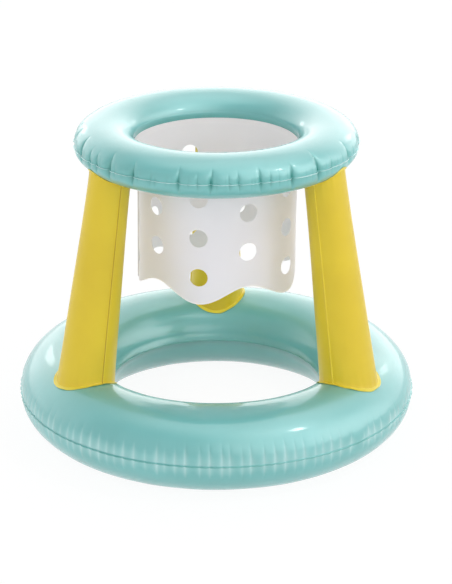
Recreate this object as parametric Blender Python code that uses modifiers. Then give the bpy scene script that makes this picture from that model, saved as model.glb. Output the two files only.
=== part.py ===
"""Inflatable floating basketball hoop.

Two welded vinyl rings are joined by three leaning inflated legs, and a perforated sleeve
hangs in the throat of the upper ring. Each ring has an air valve with a push-in stem, a
plug on a strap and a check flap. Metres, +Z up, origin under the middle of the base ring.
"""

import math
from dataclasses import dataclass

import bmesh
import bpy
from mathutils import Matrix, Vector

MM = 0.001
FULL_TURN = 2 * math.pi

# Vinyl sheet, and how two sheets lie together at a weld
SHEET = 0.30 * MM
WELD_GAP = 0.30 * MM
WELD_LIP = 2.5 * MM
CUT_OVERRUN = 1.0 * MM

# Overall size
OVERALL_HEIGHT = 531.0 * MM

# Base ring, which floats and carries the legs
BASE_OUTER_RADIUS = 335.0 * MM
BASE_HOLE_RADIUS = 179.0 * MM
BASE_TUBE_HEIGHT = 134.0 * MM
BASE_COLUMNS = 60
BASE_PUCKERS = 30
BASE_PUCKER_DEPTH = 1.6 * MM
BASE_PUCKER_ANGLE = math.radians(52)

# Hoop ring, the rim that the ball is thrown through
HOOP_OUTER_RADIUS = 236.0 * MM
HOOP_THROAT_RADIUS = 135.0 * MM
HOOP_TUBE_HEIGHT = 68.0 * MM
HOOP_SKIRT = 8.0 * MM
HOOP_COLUMNS = 60
HOOP_PUCKERS = 20
HOOP_PUCKER_DEPTH = 4.0 * MM
HOOP_PUCKER_ANGLE = math.radians(75)

# Facets over one half of a ring's section; odd, so that its crown and foot are flat bands
SECTION_STEPS = 7
PUCKER_UNEVENNESS_SHARE = 0.3
PUCKER_BEAT_SHARE = 0.35
PUCKER_FADE_POWER = 1.5
PUCKER_CALM_NEAR = math.radians(7)
PUCKER_CALM_FAR = math.radians(14)

# Legs, leaning tapered tubes with a welded flange at each end
LEG_AZIMUTHS = {"leg_left": 210.0, "leg_right": 330.0, "leg_back": 90.0}
LEG_SEAM_ANGLES = {"leg_left": 96.0, "leg_right": -94.0, "leg_back": 96.0}
LEG_FOOT_RADIUS = 50.3 * MM
LEG_HEAD_RADIUS = 33.2 * MM
LEG_HEAD_OUTSET = 8.0 * MM
LEG_TAPER_POWER = 1.35
LEG_STATIONS = 4
LEG_SIDES = 20
FLANGE_REACH_SHARE = 0.5
FOOT_FLANGE_WIDTH = 5.0 * MM
HEAD_FLANGE_WIDTH = 3.0 * MM
SEAM_FIN = 1.6 * MM
AIR_HOLE_RADIUS = 10.0 * MM

# Sleeve, the perforated vinyl net
SLEEVE_TOP_DROP = 3.0 * MM
SLEEVE_LENGTH = 221.0 * MM
SLEEVE_WAIST_INSET = 4.5 * MM
SLEEVE_NECK = 60.0 * MM
SLEEVE_COLUMNS = 50
SLEEVE_ROWS = 4
SLEEVE_LOBES = 5
SLEEVE_LOBE_DEPTH = 13.3 * MM
SLEEVE_FIRST_LOBE = math.radians(257.5)
SLEEVE_FOLD = 1.5 * MM
HOLE_RADIUS = 15.0 * MM
HOLE_PITCH = 66.5 * MM
HOLE_LOWEST = 46.0 * MM
HOLE_STAGGER = 40.5 * MM
HOLE_SIDES = 12
LONG_COLUMN_HOLES = 3
SHORT_COLUMN_HOLES = 2

# Air valve, the same moulding on both rings
VALVE_BORE_RADIUS = 4.5 * MM
STEM_RADIUS = 6.0 * MM
STEM_ABOVE_SKIN = 12.0 * MM
STEM_BELOW_SKIN = 6.0 * MM
COLLAR_RADIUS = 7.5 * MM
COLLAR_THICKNESS = 1.5 * MM
FLANGE_RADIUS = 17.0 * MM
FLANGE_THICKNESS = 0.6 * MM
RUNNING_GAP = 0.30 * MM
HINGE_REACH = 10.0 * MM
STRAP_WIDTH = 5.0 * MM
CAP_THICKNESS = 1.5 * MM
NOSE_LENGTH = 5.0 * MM
NOSE_TAPER = 1.0 * MM
NOSE_WALL = 1.0 * MM
PULL_TAB_LENGTH = 3.5 * MM
FLAP_RADIUS = 5.4 * MM
FLAP_THICKNESS = 0.8 * MM
FLAP_HINGE_REACH = 6.4 * MM
VALVE_SIDES = 16
BASE_VALVE_AZIMUTH = math.radians(120)
BASE_VALVE_ANGLE = math.radians(18)
HOOP_VALVE_AZIMUTH = math.radians(150)
HOOP_VALVE_ANGLE = math.radians(-42)

# Straps, tabs and ears are thinner than the disc that they join by this share on each face
STRAP_INSET_SHARE = 0.2

# Points closer than this are one point, and edges sharper than this are drawn sharp
WELD_DISTANCE = 0.01 * MM
SHARP_ANGLE = math.radians(40)

# Colour and roughness of each vinyl
AQUA_COLOUR = (0.30, 0.66, 0.63)
YELLOW_COLOUR = (0.80, 0.62, 0.06)
WHITE_COLOUR = (0.80, 0.79, 0.78)
CLEAR_COLOUR = (0.72, 0.80, 0.80)
GLOSSY_SHEET = 0.25
FROSTED_SHEET = 0.35
MOULDED_GLOSS = 0.15


@dataclass(frozen=True)
class Ring:
    """One inflated ring, welded from an upper and a lower annular sheet."""

    name: str
    inner_radius: float
    seam_radius: float
    bottom: float
    height: float
    columns: int
    puckers: int
    pucker_depth: float
    pucker_angle: float
    valve_azimuth: float
    valve_angle: float
    skirt: float

    @property
    def centre_radius(self):
        return (self.inner_radius + self.seam_radius) / 2

    @property
    def half_width(self):
        return (self.seam_radius - self.inner_radius) / 2

    @property
    def centre_height(self):
        return self.bottom + self.height / 2

    @property
    def lip_height(self):
        """Height of a lip's outer face above the plane of the seams."""
        return WELD_GAP / 2 + SHEET

    @property
    def rise(self):
        """Semi-axis that puts the flat crown of the faceted section at its full height."""
        return (self.height / 2 - self.lip_height) / math.cos(math.pi / SECTION_STEPS / 2)

    def arc(self, side, offset=0.0, inner_setback=0.0):
        """Half a section from the inner seam to the outer one, as (radius, height) points."""
        points = []
        for step in range(SECTION_STEPS + 1):
            angle = math.pi * (1 - step / SECTION_STEPS)
            radius = self.centre_radius + (self.half_width + offset) * math.cos(angle)
            setback = inner_setback * (1 - step / SECTION_STEPS)
            height = self.lip_height + (self.rise + offset) * math.sin(angle)
            points.append((radius + setback, self.centre_height + side * height))
        return points

    def surface(self, azimuth, angle):
        """A point on the smooth outer surface, and the outward normal there."""
        side = math.copysign(1, angle)
        radius = self.centre_radius + self.half_width * math.cos(angle)
        height = self.centre_height + side * self.lip_height + self.rise * math.sin(angle)
        around = Vector((math.cos(azimuth), math.sin(azimuth), 0))
        up = Vector((0, 0, 1))
        normal = around * math.cos(angle) / self.half_width + up * math.sin(angle) / self.rise
        return around * radius + up * height, normal.normalized()


BASE = Ring(
    name="base_ring",
    inner_radius=BASE_HOLE_RADIUS,
    seam_radius=BASE_OUTER_RADIUS - WELD_LIP,
    bottom=0.0,
    height=BASE_TUBE_HEIGHT,
    columns=BASE_COLUMNS,
    puckers=BASE_PUCKERS,
    pucker_depth=BASE_PUCKER_DEPTH,
    pucker_angle=BASE_PUCKER_ANGLE,
    valve_azimuth=BASE_VALVE_AZIMUTH,
    valve_angle=BASE_VALVE_ANGLE,
    skirt=0.0,
)
HOOP = Ring(
    name="hoop_ring",
    inner_radius=HOOP_THROAT_RADIUS,
    seam_radius=HOOP_OUTER_RADIUS - WELD_LIP,
    bottom=OVERALL_HEIGHT - HOOP_TUBE_HEIGHT,
    height=HOOP_TUBE_HEIGHT,
    columns=HOOP_COLUMNS,
    puckers=HOOP_PUCKERS,
    pucker_depth=HOOP_PUCKER_DEPTH,
    pucker_angle=HOOP_PUCKER_ANGLE,
    valve_azimuth=HOOP_VALVE_AZIMUTH,
    valve_angle=HOOP_VALVE_ANGLE,
    skirt=HOOP_SKIRT,
)


def clear_scene():
    for obj in list(bpy.data.objects):
        bpy.data.objects.remove(obj)


def new_collection(name):
    collection = bpy.data.collections.new(name)
    bpy.context.scene.collection.children.link(collection)
    return collection


clear_scene()
PARTS = new_collection("floating_hoop")
CUTTERS = new_collection("cutters")


def material(name, colour, roughness):
    made = bpy.data.materials.new(name)
    made.use_nodes = True
    shader = made.node_tree.nodes["Principled BSDF"]
    shader.inputs["Base Color"].default_value = (*colour, 1)
    shader.inputs["Roughness"].default_value = roughness
    shader.inputs["Metallic"].default_value = 0
    made.diffuse_color = (*colour, 1)
    return made


AQUA_VINYL = material("aqua_vinyl", AQUA_COLOUR, GLOSSY_SHEET)
YELLOW_VINYL = material("yellow_vinyl", YELLOW_COLOUR, GLOSSY_SHEET)
WHITE_VINYL = material("white_vinyl", WHITE_COLOUR, FROSTED_SHEET)
CLEAR_VINYL = material("clear_valve_vinyl", CLEAR_COLOUR, MOULDED_GLOSS)


def link(obj, collection, finish=None):
    """Puts an object in its collection; a cutter is drawn as wire and isn't rendered."""
    for old in obj.users_collection:
        old.objects.unlink(obj)
    collection.objects.link(obj)
    if collection is CUTTERS:
        obj.hide_render = True
        obj.display_type = "WIRE"
    if finish:
        obj.data.materials.clear()
        obj.data.materials.append(finish)
    return obj


def shade(obj):
    obj.data.shade_smooth()
    obj.data.set_sharp_from_angle(angle=SHARP_ANGLE)


def frozen(obj, name, collection, finish=None):
    """The object's evaluated shape as a plain mesh, in place of the object itself."""
    bpy.context.view_layer.update()
    graph = bpy.context.evaluated_depsgraph_get()
    mesh = bpy.data.meshes.new_from_object(obj.evaluated_get(graph))
    mesh.name = name
    made = bpy.data.objects.new(name, mesh)
    made.matrix_world = obj.matrix_world.copy()
    bpy.data.objects.remove(obj)
    return link(made, collection, finish)


def turned(name, profile, sides, collection, finish=None, closed=False):
    """A profile of (radius, height) points turned about Z; it runs down its outer side."""
    mesh = bpy.data.meshes.new(name)
    edges = [(i, i + 1) for i in range(len(profile) - 1)]
    if closed:
        edges.append((len(profile) - 1, 0))
    mesh.from_pydata([(radius, 0, height) for radius, height in profile], edges, [])
    obj = link(bpy.data.objects.new(name + "_profile", mesh), CUTTERS)
    screw = obj.modifiers.new("turn", "SCREW")
    screw.steps = sides
    screw.render_steps = sides
    screw.use_merge_vertices = True
    screw.merge_threshold = WELD_DISTANCE
    screw.use_smooth_shade = True
    return frozen(obj, name, collection, finish)


def boolean(obj, operation, other):
    cut = obj.modifiers.new(f"{operation.lower()}_{other.name}", "BOOLEAN")
    cut.operation = operation
    cut.object = other
    cut.solver = "EXACT"


def block(name, low, high, collection, parent=None):
    """A box between two corners, in its parent's frame."""
    mesh = bpy.data.meshes.new(name)
    shape = bmesh.new()
    bmesh.ops.create_cube(shape, size=1)
    size = Vector(high) - Vector(low)
    middle = (Vector(high) + Vector(low)) / 2
    bmesh.ops.scale(shape, vec=size, verts=shape.verts)
    bmesh.ops.translate(shape, vec=middle, verts=shape.verts)
    shape.to_mesh(mesh)
    shape.free()
    obj = link(bpy.data.objects.new(name, mesh), collection)
    obj.parent = parent
    return obj


def empty(name, matrix, parent=None):
    obj = bpy.data.objects.new(name, None)
    PARTS.objects.link(obj)
    obj.parent = parent
    obj.matrix_local = matrix
    return obj


def smooth_step(value, low, high):
    share = min(1.0, max(0.0, (value - low) / (high - low)))
    return share * share * (3 - 2 * share)


def pucker_depth(ring, azimuth, angle):
    """How far the skin is drawn in at a place: valleys at the outer seam that fade up the side."""
    fade = max(0.0, 1 - abs(angle) / ring.pucker_angle)
    valley = max(0.0, math.cos(ring.puckers * azimuth)) ** 2
    beat = (1 + math.sin(ring.puckers * PUCKER_BEAT_SHARE * azimuth)) / 2
    uneven = 1 - PUCKER_UNEVENNESS_SHARE * beat
    from_valve = abs(math.remainder(azimuth - ring.valve_azimuth, FULL_TURN))
    calm = smooth_step(from_valve, PUCKER_CALM_NEAR, PUCKER_CALM_FAR)
    return ring.pucker_depth * valley * uneven * calm * fade ** PUCKER_FADE_POWER


def pucker(obj, ring):
    """Draws the outer seam in at every pucker, as a flat sheet gathers when it is blown up."""
    for vertex in obj.data.vertices:
        x, y, z = vertex.co
        radius = math.hypot(x, y)
        if radius <= ring.centre_radius:
            continue
        azimuth = math.atan2(y, x)
        across = (radius - ring.centre_radius) / ring.half_width
        angle = math.atan2((z - ring.centre_height) / ring.rise, across)
        drawn = (radius - pucker_depth(ring, azimuth, angle)) / radius
        vertex.co = (x * drawn, y * drawn, z)


def skin(name, ring, profile):
    """One annular sheet of a ring: a turned open surface, puckered and given its thickness."""
    obj = turned(name, profile, ring.columns, PARTS, AQUA_VINYL)
    pucker(obj, ring)
    shade(obj)
    wall = obj.modifiers.new("sheet", "SOLIDIFY")
    wall.thickness = SHEET
    wall.offset = -1
    wall.use_even_offset = True
    wall.use_quality_normals = True
    return obj


def upper_skin(ring):
    arc = ring.arc(1)
    lip = ring.centre_height + ring.lip_height
    if ring.skirt:
        inner_edge = (ring.inner_radius, ring.centre_height - ring.skirt)
    else:
        inner_edge = (ring.inner_radius - WELD_LIP, lip)
    profile = [inner_edge, *arc, (ring.seam_radius + WELD_LIP, lip)]
    return skin(f"{ring.name}_upper_skin", ring, profile)


def lower_skin(ring):
    lip = ring.centre_height - ring.lip_height
    if ring.skirt:
        # This sheet's inner edge is lapped behind the skirt of the upper one.
        profile = ring.arc(-1, inner_setback=SHEET + WELD_GAP)
    else:
        profile = [(ring.inner_radius - WELD_LIP, lip), *ring.arc(-1)]
    profile = [*profile, (ring.seam_radius + WELD_LIP, lip)]
    return skin(f"{ring.name}_lower_skin", ring, profile[::-1])


def inner_form(name, ring, inset):
    """The ring as a solid that is smaller all round: the faces that a valve's flange lies on."""
    profile = [*ring.arc(1, -inset), *ring.arc(-1, -inset)[::-1]]
    return turned(name, profile, ring.columns, CUTTERS, closed=True)


def seat_form(name, ring, side, offset):
    """One side of a ring, grown by an offset, with all that lies beyond its seams.

    A leg is cut by it, so the leg's end follows the ring and stops short of the seam.
    """
    flat = ring.centre_height + side * (ring.lip_height + offset)
    clamp = max if side > 0 else min
    face = [(radius, clamp(height, flat)) for radius, height in ring.arc(side, offset)]
    reach = 2 * ring.seam_radius
    far = flat - side * reach
    profile = [(0.0, flat), *face, (reach, flat), (reach, far), (0.0, far)]
    if side < 0:
        profile = profile[::-1]
    return turned(name, profile, ring.columns, CUTTERS)


def leg_radius(share):
    """Radius of a leg at a share of its length, from the base ring's middle to the hoop's."""
    taper = max(0.0, 1 - share) ** LEG_TAPER_POWER
    return LEG_HEAD_RADIUS + (LEG_FOOT_RADIUS - LEG_HEAD_RADIUS) * taper


def leg_frame(azimuth):
    """Frame with +Z up a leg's axis and +X away from the toy's middle, and the axis's length."""
    around = Vector((math.cos(azimuth), math.sin(azimuth), 0))
    foot = around * BASE.centre_radius + Vector((0, 0, BASE.centre_height))
    head = around * (HOOP.centre_radius + LEG_HEAD_OUTSET) + Vector((0, 0, HOOP.centre_height))
    up = (head - foot).normalized()
    side = up.cross(around).normalized()
    out = side.cross(up)
    matrix = Matrix((out, side, up)).transposed().to_4x4()
    matrix.translation = foot
    return matrix, (head - foot).length


def leg_cone(name, length, grow, first, last, matrix):
    """A leg's tapered form between two shares of its length, grown by a distance."""
    profile = [(0.0, last * length)]
    for station in range(LEG_STATIONS, -1, -1):
        share = first + (last - first) * station / LEG_STATIONS
        profile.append((leg_radius(share) + grow, share * length))
    profile.append((0.0, first * length))
    cone = turned(name, profile, LEG_SIDES, CUTTERS)
    cone.data.transform(Matrix.Rotation(math.pi / LEG_SIDES, 4, "Z"))
    cone.matrix_world = matrix
    return cone


def seam_fin(name, length, matrix, turn):
    """The welded edge that stands up along a leg, as a flat outline with thickness."""
    shares = [station / LEG_STATIONS for station in range(LEG_STATIONS + 1)]
    outer = [(leg_radius(share) + SEAM_FIN, share * length) for share in shares]
    inner = [(leg_radius(share) - CUT_OVERRUN, share * length) for share in shares]
    curve = bpy.data.curves.new(name, "CURVE")
    curve.dimensions = "2D"
    curve.fill_mode = "BOTH"
    curve.extrude = SHEET
    spline = curve.splines.new("POLY")
    outline = [*outer, *inner[::-1]]
    spline.points.add(len(outline) - 1)
    for point, (radius, height) in zip(spline.points, outline):
        point.co = (radius, height, 0, 1)
    spline.use_cyclic_u = True
    obj = link(bpy.data.objects.new(name + "_outline", curve), CUTTERS)
    made = frozen(obj, name, CUTTERS)
    weld = bmesh.new()
    weld.from_mesh(made.data)
    bmesh.ops.remove_doubles(weld, verts=weld.verts, dist=WELD_DISTANCE)
    bmesh.ops.recalc_face_normals(weld, faces=weld.faces)
    weld.to_mesh(made.data)
    weld.free()
    stand_up = Matrix.Rotation(math.pi / 2, 4, "X")
    made.matrix_world = matrix @ Matrix.Rotation(turn, 4, "Z") @ stand_up
    return made


def leg(name, azimuth_degrees, seam_degrees, seats, faces):
    """A leg with its flanges and fin, cut to the rings that it is welded to and bored last."""
    matrix, length = leg_frame(math.radians(azimuth_degrees))
    overrun = CUT_OVERRUN / length
    outer = leg_cone(f"{name}_form", length, 0.0, 0.0, 1.0, matrix)
    foot = leg_cone(f"{name}_foot", length, FOOT_FLANGE_WIDTH, overrun, FLANGE_REACH_SHARE, matrix)
    head = leg_cone(f"{name}_head", length, HEAD_FLANGE_WIDTH, 1 - FLANGE_REACH_SHARE, 1 - overrun, matrix)
    for flange, face in zip((foot, head), faces):
        boolean(flange, "INTERSECT", face)
    bore = leg_cone(f"{name}_bore", length, -SHEET, -overrun, 1 + overrun, matrix)
    fin = seam_fin(f"{name}_fin", length, matrix, math.radians(seam_degrees))
    outer.name = name
    link(outer, PARTS, YELLOW_VINYL)
    outer.hide_render = False
    outer.display_type = "TEXTURED"
    for piece in (foot, head, fin):
        boolean(outer, "UNION", piece)
    for piece in (*seats, bore):
        boolean(outer, "DIFFERENCE", piece)
    shade(outer)


def air_hole(azimuth_degrees, upper):
    """The punched hole through which a leg shares the base ring's air."""
    matrix, length = leg_frame(math.radians(azimuth_degrees))
    profile = [(0.0, length / 2), (AIR_HOLE_RADIUS, length / 2), (AIR_HOLE_RADIUS, 0.0), (0.0, 0.0)]
    punch = turned(f"air_hole_{azimuth_degrees:.0f}", profile, VALVE_SIDES, CUTTERS)
    punch.matrix_world = matrix
    boolean(upper, "DIFFERENCE", punch)


def sleeve_radius(drop, azimuth):
    """The sleeve narrows below its weld, and its lobes stand out a little at the hem."""
    top = HOOP.inner_radius - WELD_GAP
    waist = SLEEVE_WAIST_INSET * smooth_step(drop, 0.0, SLEEVE_NECK)
    wave = math.cos(SLEEVE_LOBES * (azimuth - SLEEVE_FIRST_LOBE))
    return top - waist + SLEEVE_FOLD * (drop / SLEEVE_LENGTH) * wave


def sleeve_surface():
    """The open sleeve: columns of points whose last row follows the scalloped hem."""
    top = HOOP.centre_height - SLEEVE_TOP_DROP
    points = []
    for column in range(SLEEVE_COLUMNS):
        azimuth = FULL_TURN * column / SLEEVE_COLUMNS
        wave = math.cos(SLEEVE_LOBES * (azimuth - SLEEVE_FIRST_LOBE))
        length = SLEEVE_LENGTH + SLEEVE_LOBE_DEPTH * wave
        for row in range(SLEEVE_ROWS + 1):
            drop = length * row / SLEEVE_ROWS
            radius = sleeve_radius(drop, azimuth)
            points.append((radius * math.cos(azimuth), radius * math.sin(azimuth), top - drop))
    faces = []
    per_column = SLEEVE_ROWS + 1
    for column in range(SLEEVE_COLUMNS):
        here = column * per_column
        there = (column + 1) % SLEEVE_COLUMNS * per_column
        for row in range(SLEEVE_ROWS):
            faces.append((here + row, here + row + 1, there + row + 1, there + row))
    return points, faces


def hole_places():
    """Azimuth and height of every hole: long columns over the lobes, short ones between."""
    hem = HOOP.centre_height - SLEEVE_TOP_DROP - SLEEVE_LENGTH - SLEEVE_LOBE_DEPTH
    places = []
    for column in range(2 * SLEEVE_LOBES):
        azimuth = SLEEVE_FIRST_LOBE + math.pi * column / SLEEVE_LOBES
        over_lobe = column % 2 == 0
        first = hem + HOLE_LOWEST + (0.0 if over_lobe else HOLE_STAGGER)
        count = LONG_COLUMN_HOLES if over_lobe else SHORT_COLUMN_HOLES
        places += [(azimuth, first + HOLE_PITCH * row) for row in range(count)]
    return places


def hole_punch():
    """All the holes' cutters as one mesh of short pins that cross the sleeve's wall."""
    mesh = bpy.data.meshes.new("hole_punch")
    pins = bmesh.new()
    length = 2 * (SLEEVE_WAIST_INSET + SLEEVE_FOLD + CUT_OVERRUN)
    radius = HOOP.inner_radius - WELD_GAP - SLEEVE_WAIST_INSET / 2
    for azimuth, height in hole_places():
        place = Matrix.Translation((radius * math.cos(azimuth), radius * math.sin(azimuth), height))
        turn = Matrix.Rotation(azimuth, 4, "Z") @ Matrix.Rotation(math.pi / 2, 4, "Y")
        bmesh.ops.create_cone(
            pins, cap_ends=True, segments=HOLE_SIDES, radius1=HOLE_RADIUS, radius2=HOLE_RADIUS,
            depth=length, matrix=place @ turn,
        )
    pins.to_mesh(mesh)
    pins.free()
    return link(bpy.data.objects.new("hole_punch", mesh), CUTTERS)


def sleeve():
    points, faces = sleeve_surface()
    mesh = bpy.data.meshes.new("basket_sleeve")
    mesh.from_pydata(points, [], faces)
    obj = link(bpy.data.objects.new("basket_sleeve", mesh), PARTS, WHITE_VINYL)
    shade(obj)
    wall = obj.modifiers.new("sheet", "SOLIDIFY")
    wall.thickness = SHEET
    wall.offset = -1
    wall.use_even_offset = True
    boolean(obj, "DIFFERENCE", hole_punch())
    return obj


def valve_frame(ring):
    """Frame of a ring's valve: +Z out along its stem, +X towards the strap's hinge."""
    place, out = ring.surface(ring.valve_azimuth, ring.valve_angle)
    along = Vector((-math.sin(ring.valve_azimuth), math.cos(ring.valve_azimuth), 0))
    side = out.cross(along).normalized()
    matrix = Matrix((along, side, out)).transposed().to_4x4()
    matrix.translation = place
    return matrix


def valve_stem(name, frame):
    """The tube that is blown into, with its collar and the ear that carries the strap."""
    low = -STEM_BELOW_SKIN
    high = STEM_ABOVE_SKIN
    under_collar = high - COLLAR_THICKNESS
    inset = COLLAR_THICKNESS * STRAP_INSET_SHARE
    profile = [
        (VALVE_BORE_RADIUS, high),
        (COLLAR_RADIUS, high),
        (COLLAR_RADIUS, under_collar),
        (STEM_RADIUS, under_collar),
        (STEM_RADIUS, low),
        (VALVE_BORE_RADIUS, low),
    ]
    stem = turned(f"{name}_stem", profile, VALVE_SIDES, PARTS, CLEAR_VINYL, closed=True)
    stem.parent = frame
    ear = block(
        f"{name}_ear",
        (STEM_RADIUS, -STRAP_WIDTH / 2, under_collar + inset),
        (HINGE_REACH, STRAP_WIDTH / 2, high - inset),
        CUTTERS,
        frame,
    )
    boolean(stem, "UNION", ear)
    return stem


def valve_plug(name, frame):
    """The cap with its tapered hollow nose, the strap to the ear and a pull tab."""
    hinge = Matrix.Translation((HINGE_REACH, 0, STEM_ABOVE_SKIN))
    pivot = empty(f"{name}_plug_hinge", hinge, frame)
    seat = RUNNING_GAP
    top = seat + CAP_THICKNESS
    root = VALVE_BORE_RADIUS - RUNNING_GAP
    tip = root - NOSE_TAPER
    profile = [
        (0.0, top),
        (COLLAR_RADIUS, top),
        (COLLAR_RADIUS, seat),
        (root, seat),
        (tip, -NOSE_LENGTH),
        (tip - NOSE_WALL, -NOSE_LENGTH),
        (tip - NOSE_WALL, seat),
        (0.0, seat),
    ]
    plug = turned(f"{name}_plug", profile, VALVE_SIDES, PARTS, CLEAR_VINYL)
    plug.data.transform(Matrix.Translation((-HINGE_REACH, 0, 0)))
    plug.parent = pivot
    inset = CAP_THICKNESS * STRAP_INSET_SHARE
    strap = block(
        f"{name}_strap",
        (-HINGE_REACH + VALVE_BORE_RADIUS, -STRAP_WIDTH / 2, seat + inset),
        (0.0, STRAP_WIDTH / 2, top - inset),
        CUTTERS,
        pivot,
    )
    tab = block(
        f"{name}_pull_tab",
        (-HINGE_REACH - COLLAR_RADIUS - PULL_TAB_LENGTH, -STRAP_WIDTH / 2, seat + inset),
        (-HINGE_REACH - VALVE_BORE_RADIUS, STRAP_WIDTH / 2, top - inset),
        CUTTERS,
        pivot,
    )
    for piece in (strap, tab):
        boolean(plug, "UNION", piece)
    return plug


def valve_flap(name, frame):
    """The check flap that the ring's pressure holds against the stem's inner end."""
    hinge = Matrix.Translation((-FLAP_HINGE_REACH, 0, -STEM_BELOW_SKIN - RUNNING_GAP))
    pivot = empty(f"{name}_flap_hinge", hinge, frame)
    profile = [(0.0, 0.0), (FLAP_RADIUS, 0.0), (FLAP_RADIUS, -FLAP_THICKNESS), (0.0, -FLAP_THICKNESS)]
    flap = turned(f"{name}_check_flap", profile, VALVE_SIDES, PARTS, CLEAR_VINYL)
    flap.data.transform(Matrix.Translation((FLAP_HINGE_REACH, 0, 0)))
    flap.parent = pivot
    inset = FLAP_THICKNESS * STRAP_INSET_SHARE
    hinge_strip = block(
        f"{name}_flap_strip",
        (0.0, -STRAP_WIDTH / 2, -FLAP_THICKNESS + inset),
        (FLAP_HINGE_REACH - FLAP_RADIUS / 2, STRAP_WIDTH / 2, -inset),
        CUTTERS,
        pivot,
    )
    boolean(flap, "UNION", hinge_strip)
    return flap


def valve_flange(name, ring, frame, passage):
    """The disc welded to the inside of the skin, bent to the ring's own curve."""
    outer_face = inner_form(f"{name}_flange_outer", ring, SHEET + WELD_GAP)
    inner_face = inner_form(f"{name}_flange_inner", ring, SHEET + WELD_GAP + FLANGE_THICKNESS)
    reach = FLANGE_RADIUS
    profile = [(0.0, reach), (FLANGE_RADIUS, reach), (FLANGE_RADIUS, -reach), (0.0, -reach)]
    disc = turned(f"{name}_flange", profile, VALVE_SIDES, PARTS, CLEAR_VINYL)
    disc.parent = frame
    boolean(disc, "INTERSECT", outer_face)
    boolean(disc, "DIFFERENCE", inner_face)
    boolean(disc, "DIFFERENCE", passage)
    return disc


def valve(name, ring, pierced_skin):
    frame = empty(f"{name}_frame", valve_frame(ring))
    reach = STEM_ABOVE_SKIN
    radius = STEM_RADIUS + RUNNING_GAP
    profile = [(0.0, reach), (radius, reach), (radius, -reach), (0.0, -reach)]
    passage = turned(f"{name}_passage", profile, VALVE_SIDES, CUTTERS)
    passage.parent = frame
    boolean(pierced_skin, "DIFFERENCE", passage)
    valve_flange(name, ring, frame, passage)
    for piece in (valve_stem(name, frame), valve_plug(name, frame), valve_flap(name, frame)):
        shade(piece)


def build():
    base_upper = upper_skin(BASE)
    lower_skin(BASE)
    upper_skin(HOOP)
    hoop_lower = lower_skin(HOOP)
    seats = [seat_form("foot_seat", BASE, 1, WELD_GAP), seat_form("head_seat", HOOP, -1, WELD_GAP)]
    flange_face = WELD_GAP + SHEET
    faces = [seat_form("foot_face", BASE, 1, flange_face), seat_form("head_face", HOOP, -1, flange_face)]
    for name, azimuth in LEG_AZIMUTHS.items():
        leg(name, azimuth, LEG_SEAM_ANGLES[name], seats, faces)
        air_hole(azimuth, base_upper)
    sleeve()
    valve("base_valve", BASE, base_upper)
    valve("hoop_valve", HOOP, hoop_lower)


build()
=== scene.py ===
"""Dressed model of an inflatable floating basketball hoop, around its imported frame.

Each sub-assembly builds what is seen in place of its plain solids: two rings blown up from
welded sheets, three welded legs, a perforated sleeve and two push-in air valves. The sizes
are the solids' own, in metres, with +Z up and the front of the toy towards -Y.
"""

import logging
import math
import random
from collections.abc import Sequence
from dataclasses import dataclass, field
from enum import Enum

import bmesh
import bpy
import numpy as np
from mathutils import Matrix, Vector


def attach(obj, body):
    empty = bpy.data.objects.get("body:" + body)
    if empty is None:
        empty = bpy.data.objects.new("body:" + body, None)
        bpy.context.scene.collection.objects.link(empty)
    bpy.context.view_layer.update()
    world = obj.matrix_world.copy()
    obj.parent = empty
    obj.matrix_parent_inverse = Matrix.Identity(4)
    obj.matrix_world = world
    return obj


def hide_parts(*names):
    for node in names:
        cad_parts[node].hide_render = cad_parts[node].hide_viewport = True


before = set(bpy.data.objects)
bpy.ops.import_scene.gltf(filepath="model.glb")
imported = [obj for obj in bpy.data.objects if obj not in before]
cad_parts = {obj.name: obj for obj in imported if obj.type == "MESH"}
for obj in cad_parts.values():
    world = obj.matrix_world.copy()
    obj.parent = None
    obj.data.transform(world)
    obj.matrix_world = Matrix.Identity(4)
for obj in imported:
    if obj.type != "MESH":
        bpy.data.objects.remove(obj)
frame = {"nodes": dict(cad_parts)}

LOG = logging.getLogger("floating_hoop")
MM = 0.001
FULL_TURN = 2 * math.pi
ROOT_BODY = "hoop"

Nodes = bpy.types.NodeTree
Socket = bpy.types.NodeSocket
Object = bpy.types.Object
Point = tuple[float, float]


class Slot(Enum):
    """The record's material slots."""

    AQUA = "aqua_vinyl"
    YELLOW = "yellow_vinyl"
    WHITE = "white_vinyl"
    CLEAR = "clear_valve_vinyl"


def linear(colour: str) -> tuple[float, float, float, float]:
    """Turns an sRGB hex colour to linear.

    Args:
        colour: Six hex digits after a hash sign.

    Returns:
        Linear red, green, blue and an alpha of one.
    """
    channels = []
    for start in (1, 3, 5):
        value = int(colour[start : start + 2], 16) / 255
        channels.append(value / 12.92 if value <= 0.04045 else ((value + 0.055) / 1.055) ** 2.4)
    return (*channels, 1.0)


def add_node(tree: Nodes, kind: str, inputs: dict | None = None, pair: object = None, **settings: object) -> bpy.types.Node:
    """Adds one node with its settings and links.

    Args:
        tree: The tree that gets the node.
        kind: The node's type.
        inputs: For a socket's name or number, its value or the output that feeds it.
        pair: The closing node of a zone that this node opens.
        settings: The node's own options.

    Returns:
        The new node.
    """
    node = tree.nodes.new(kind)
    for option, value in settings.items():
        setattr(node, option, value)
    if pair is not None:
        node.pair_with_output(pair)
    for socket, value in (inputs or {}).items():
        target = node.inputs[socket]
        if isinstance(value, Socket):
            tree.links.new(value, target)
        else:
            target.default_value = value
    return node


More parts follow.
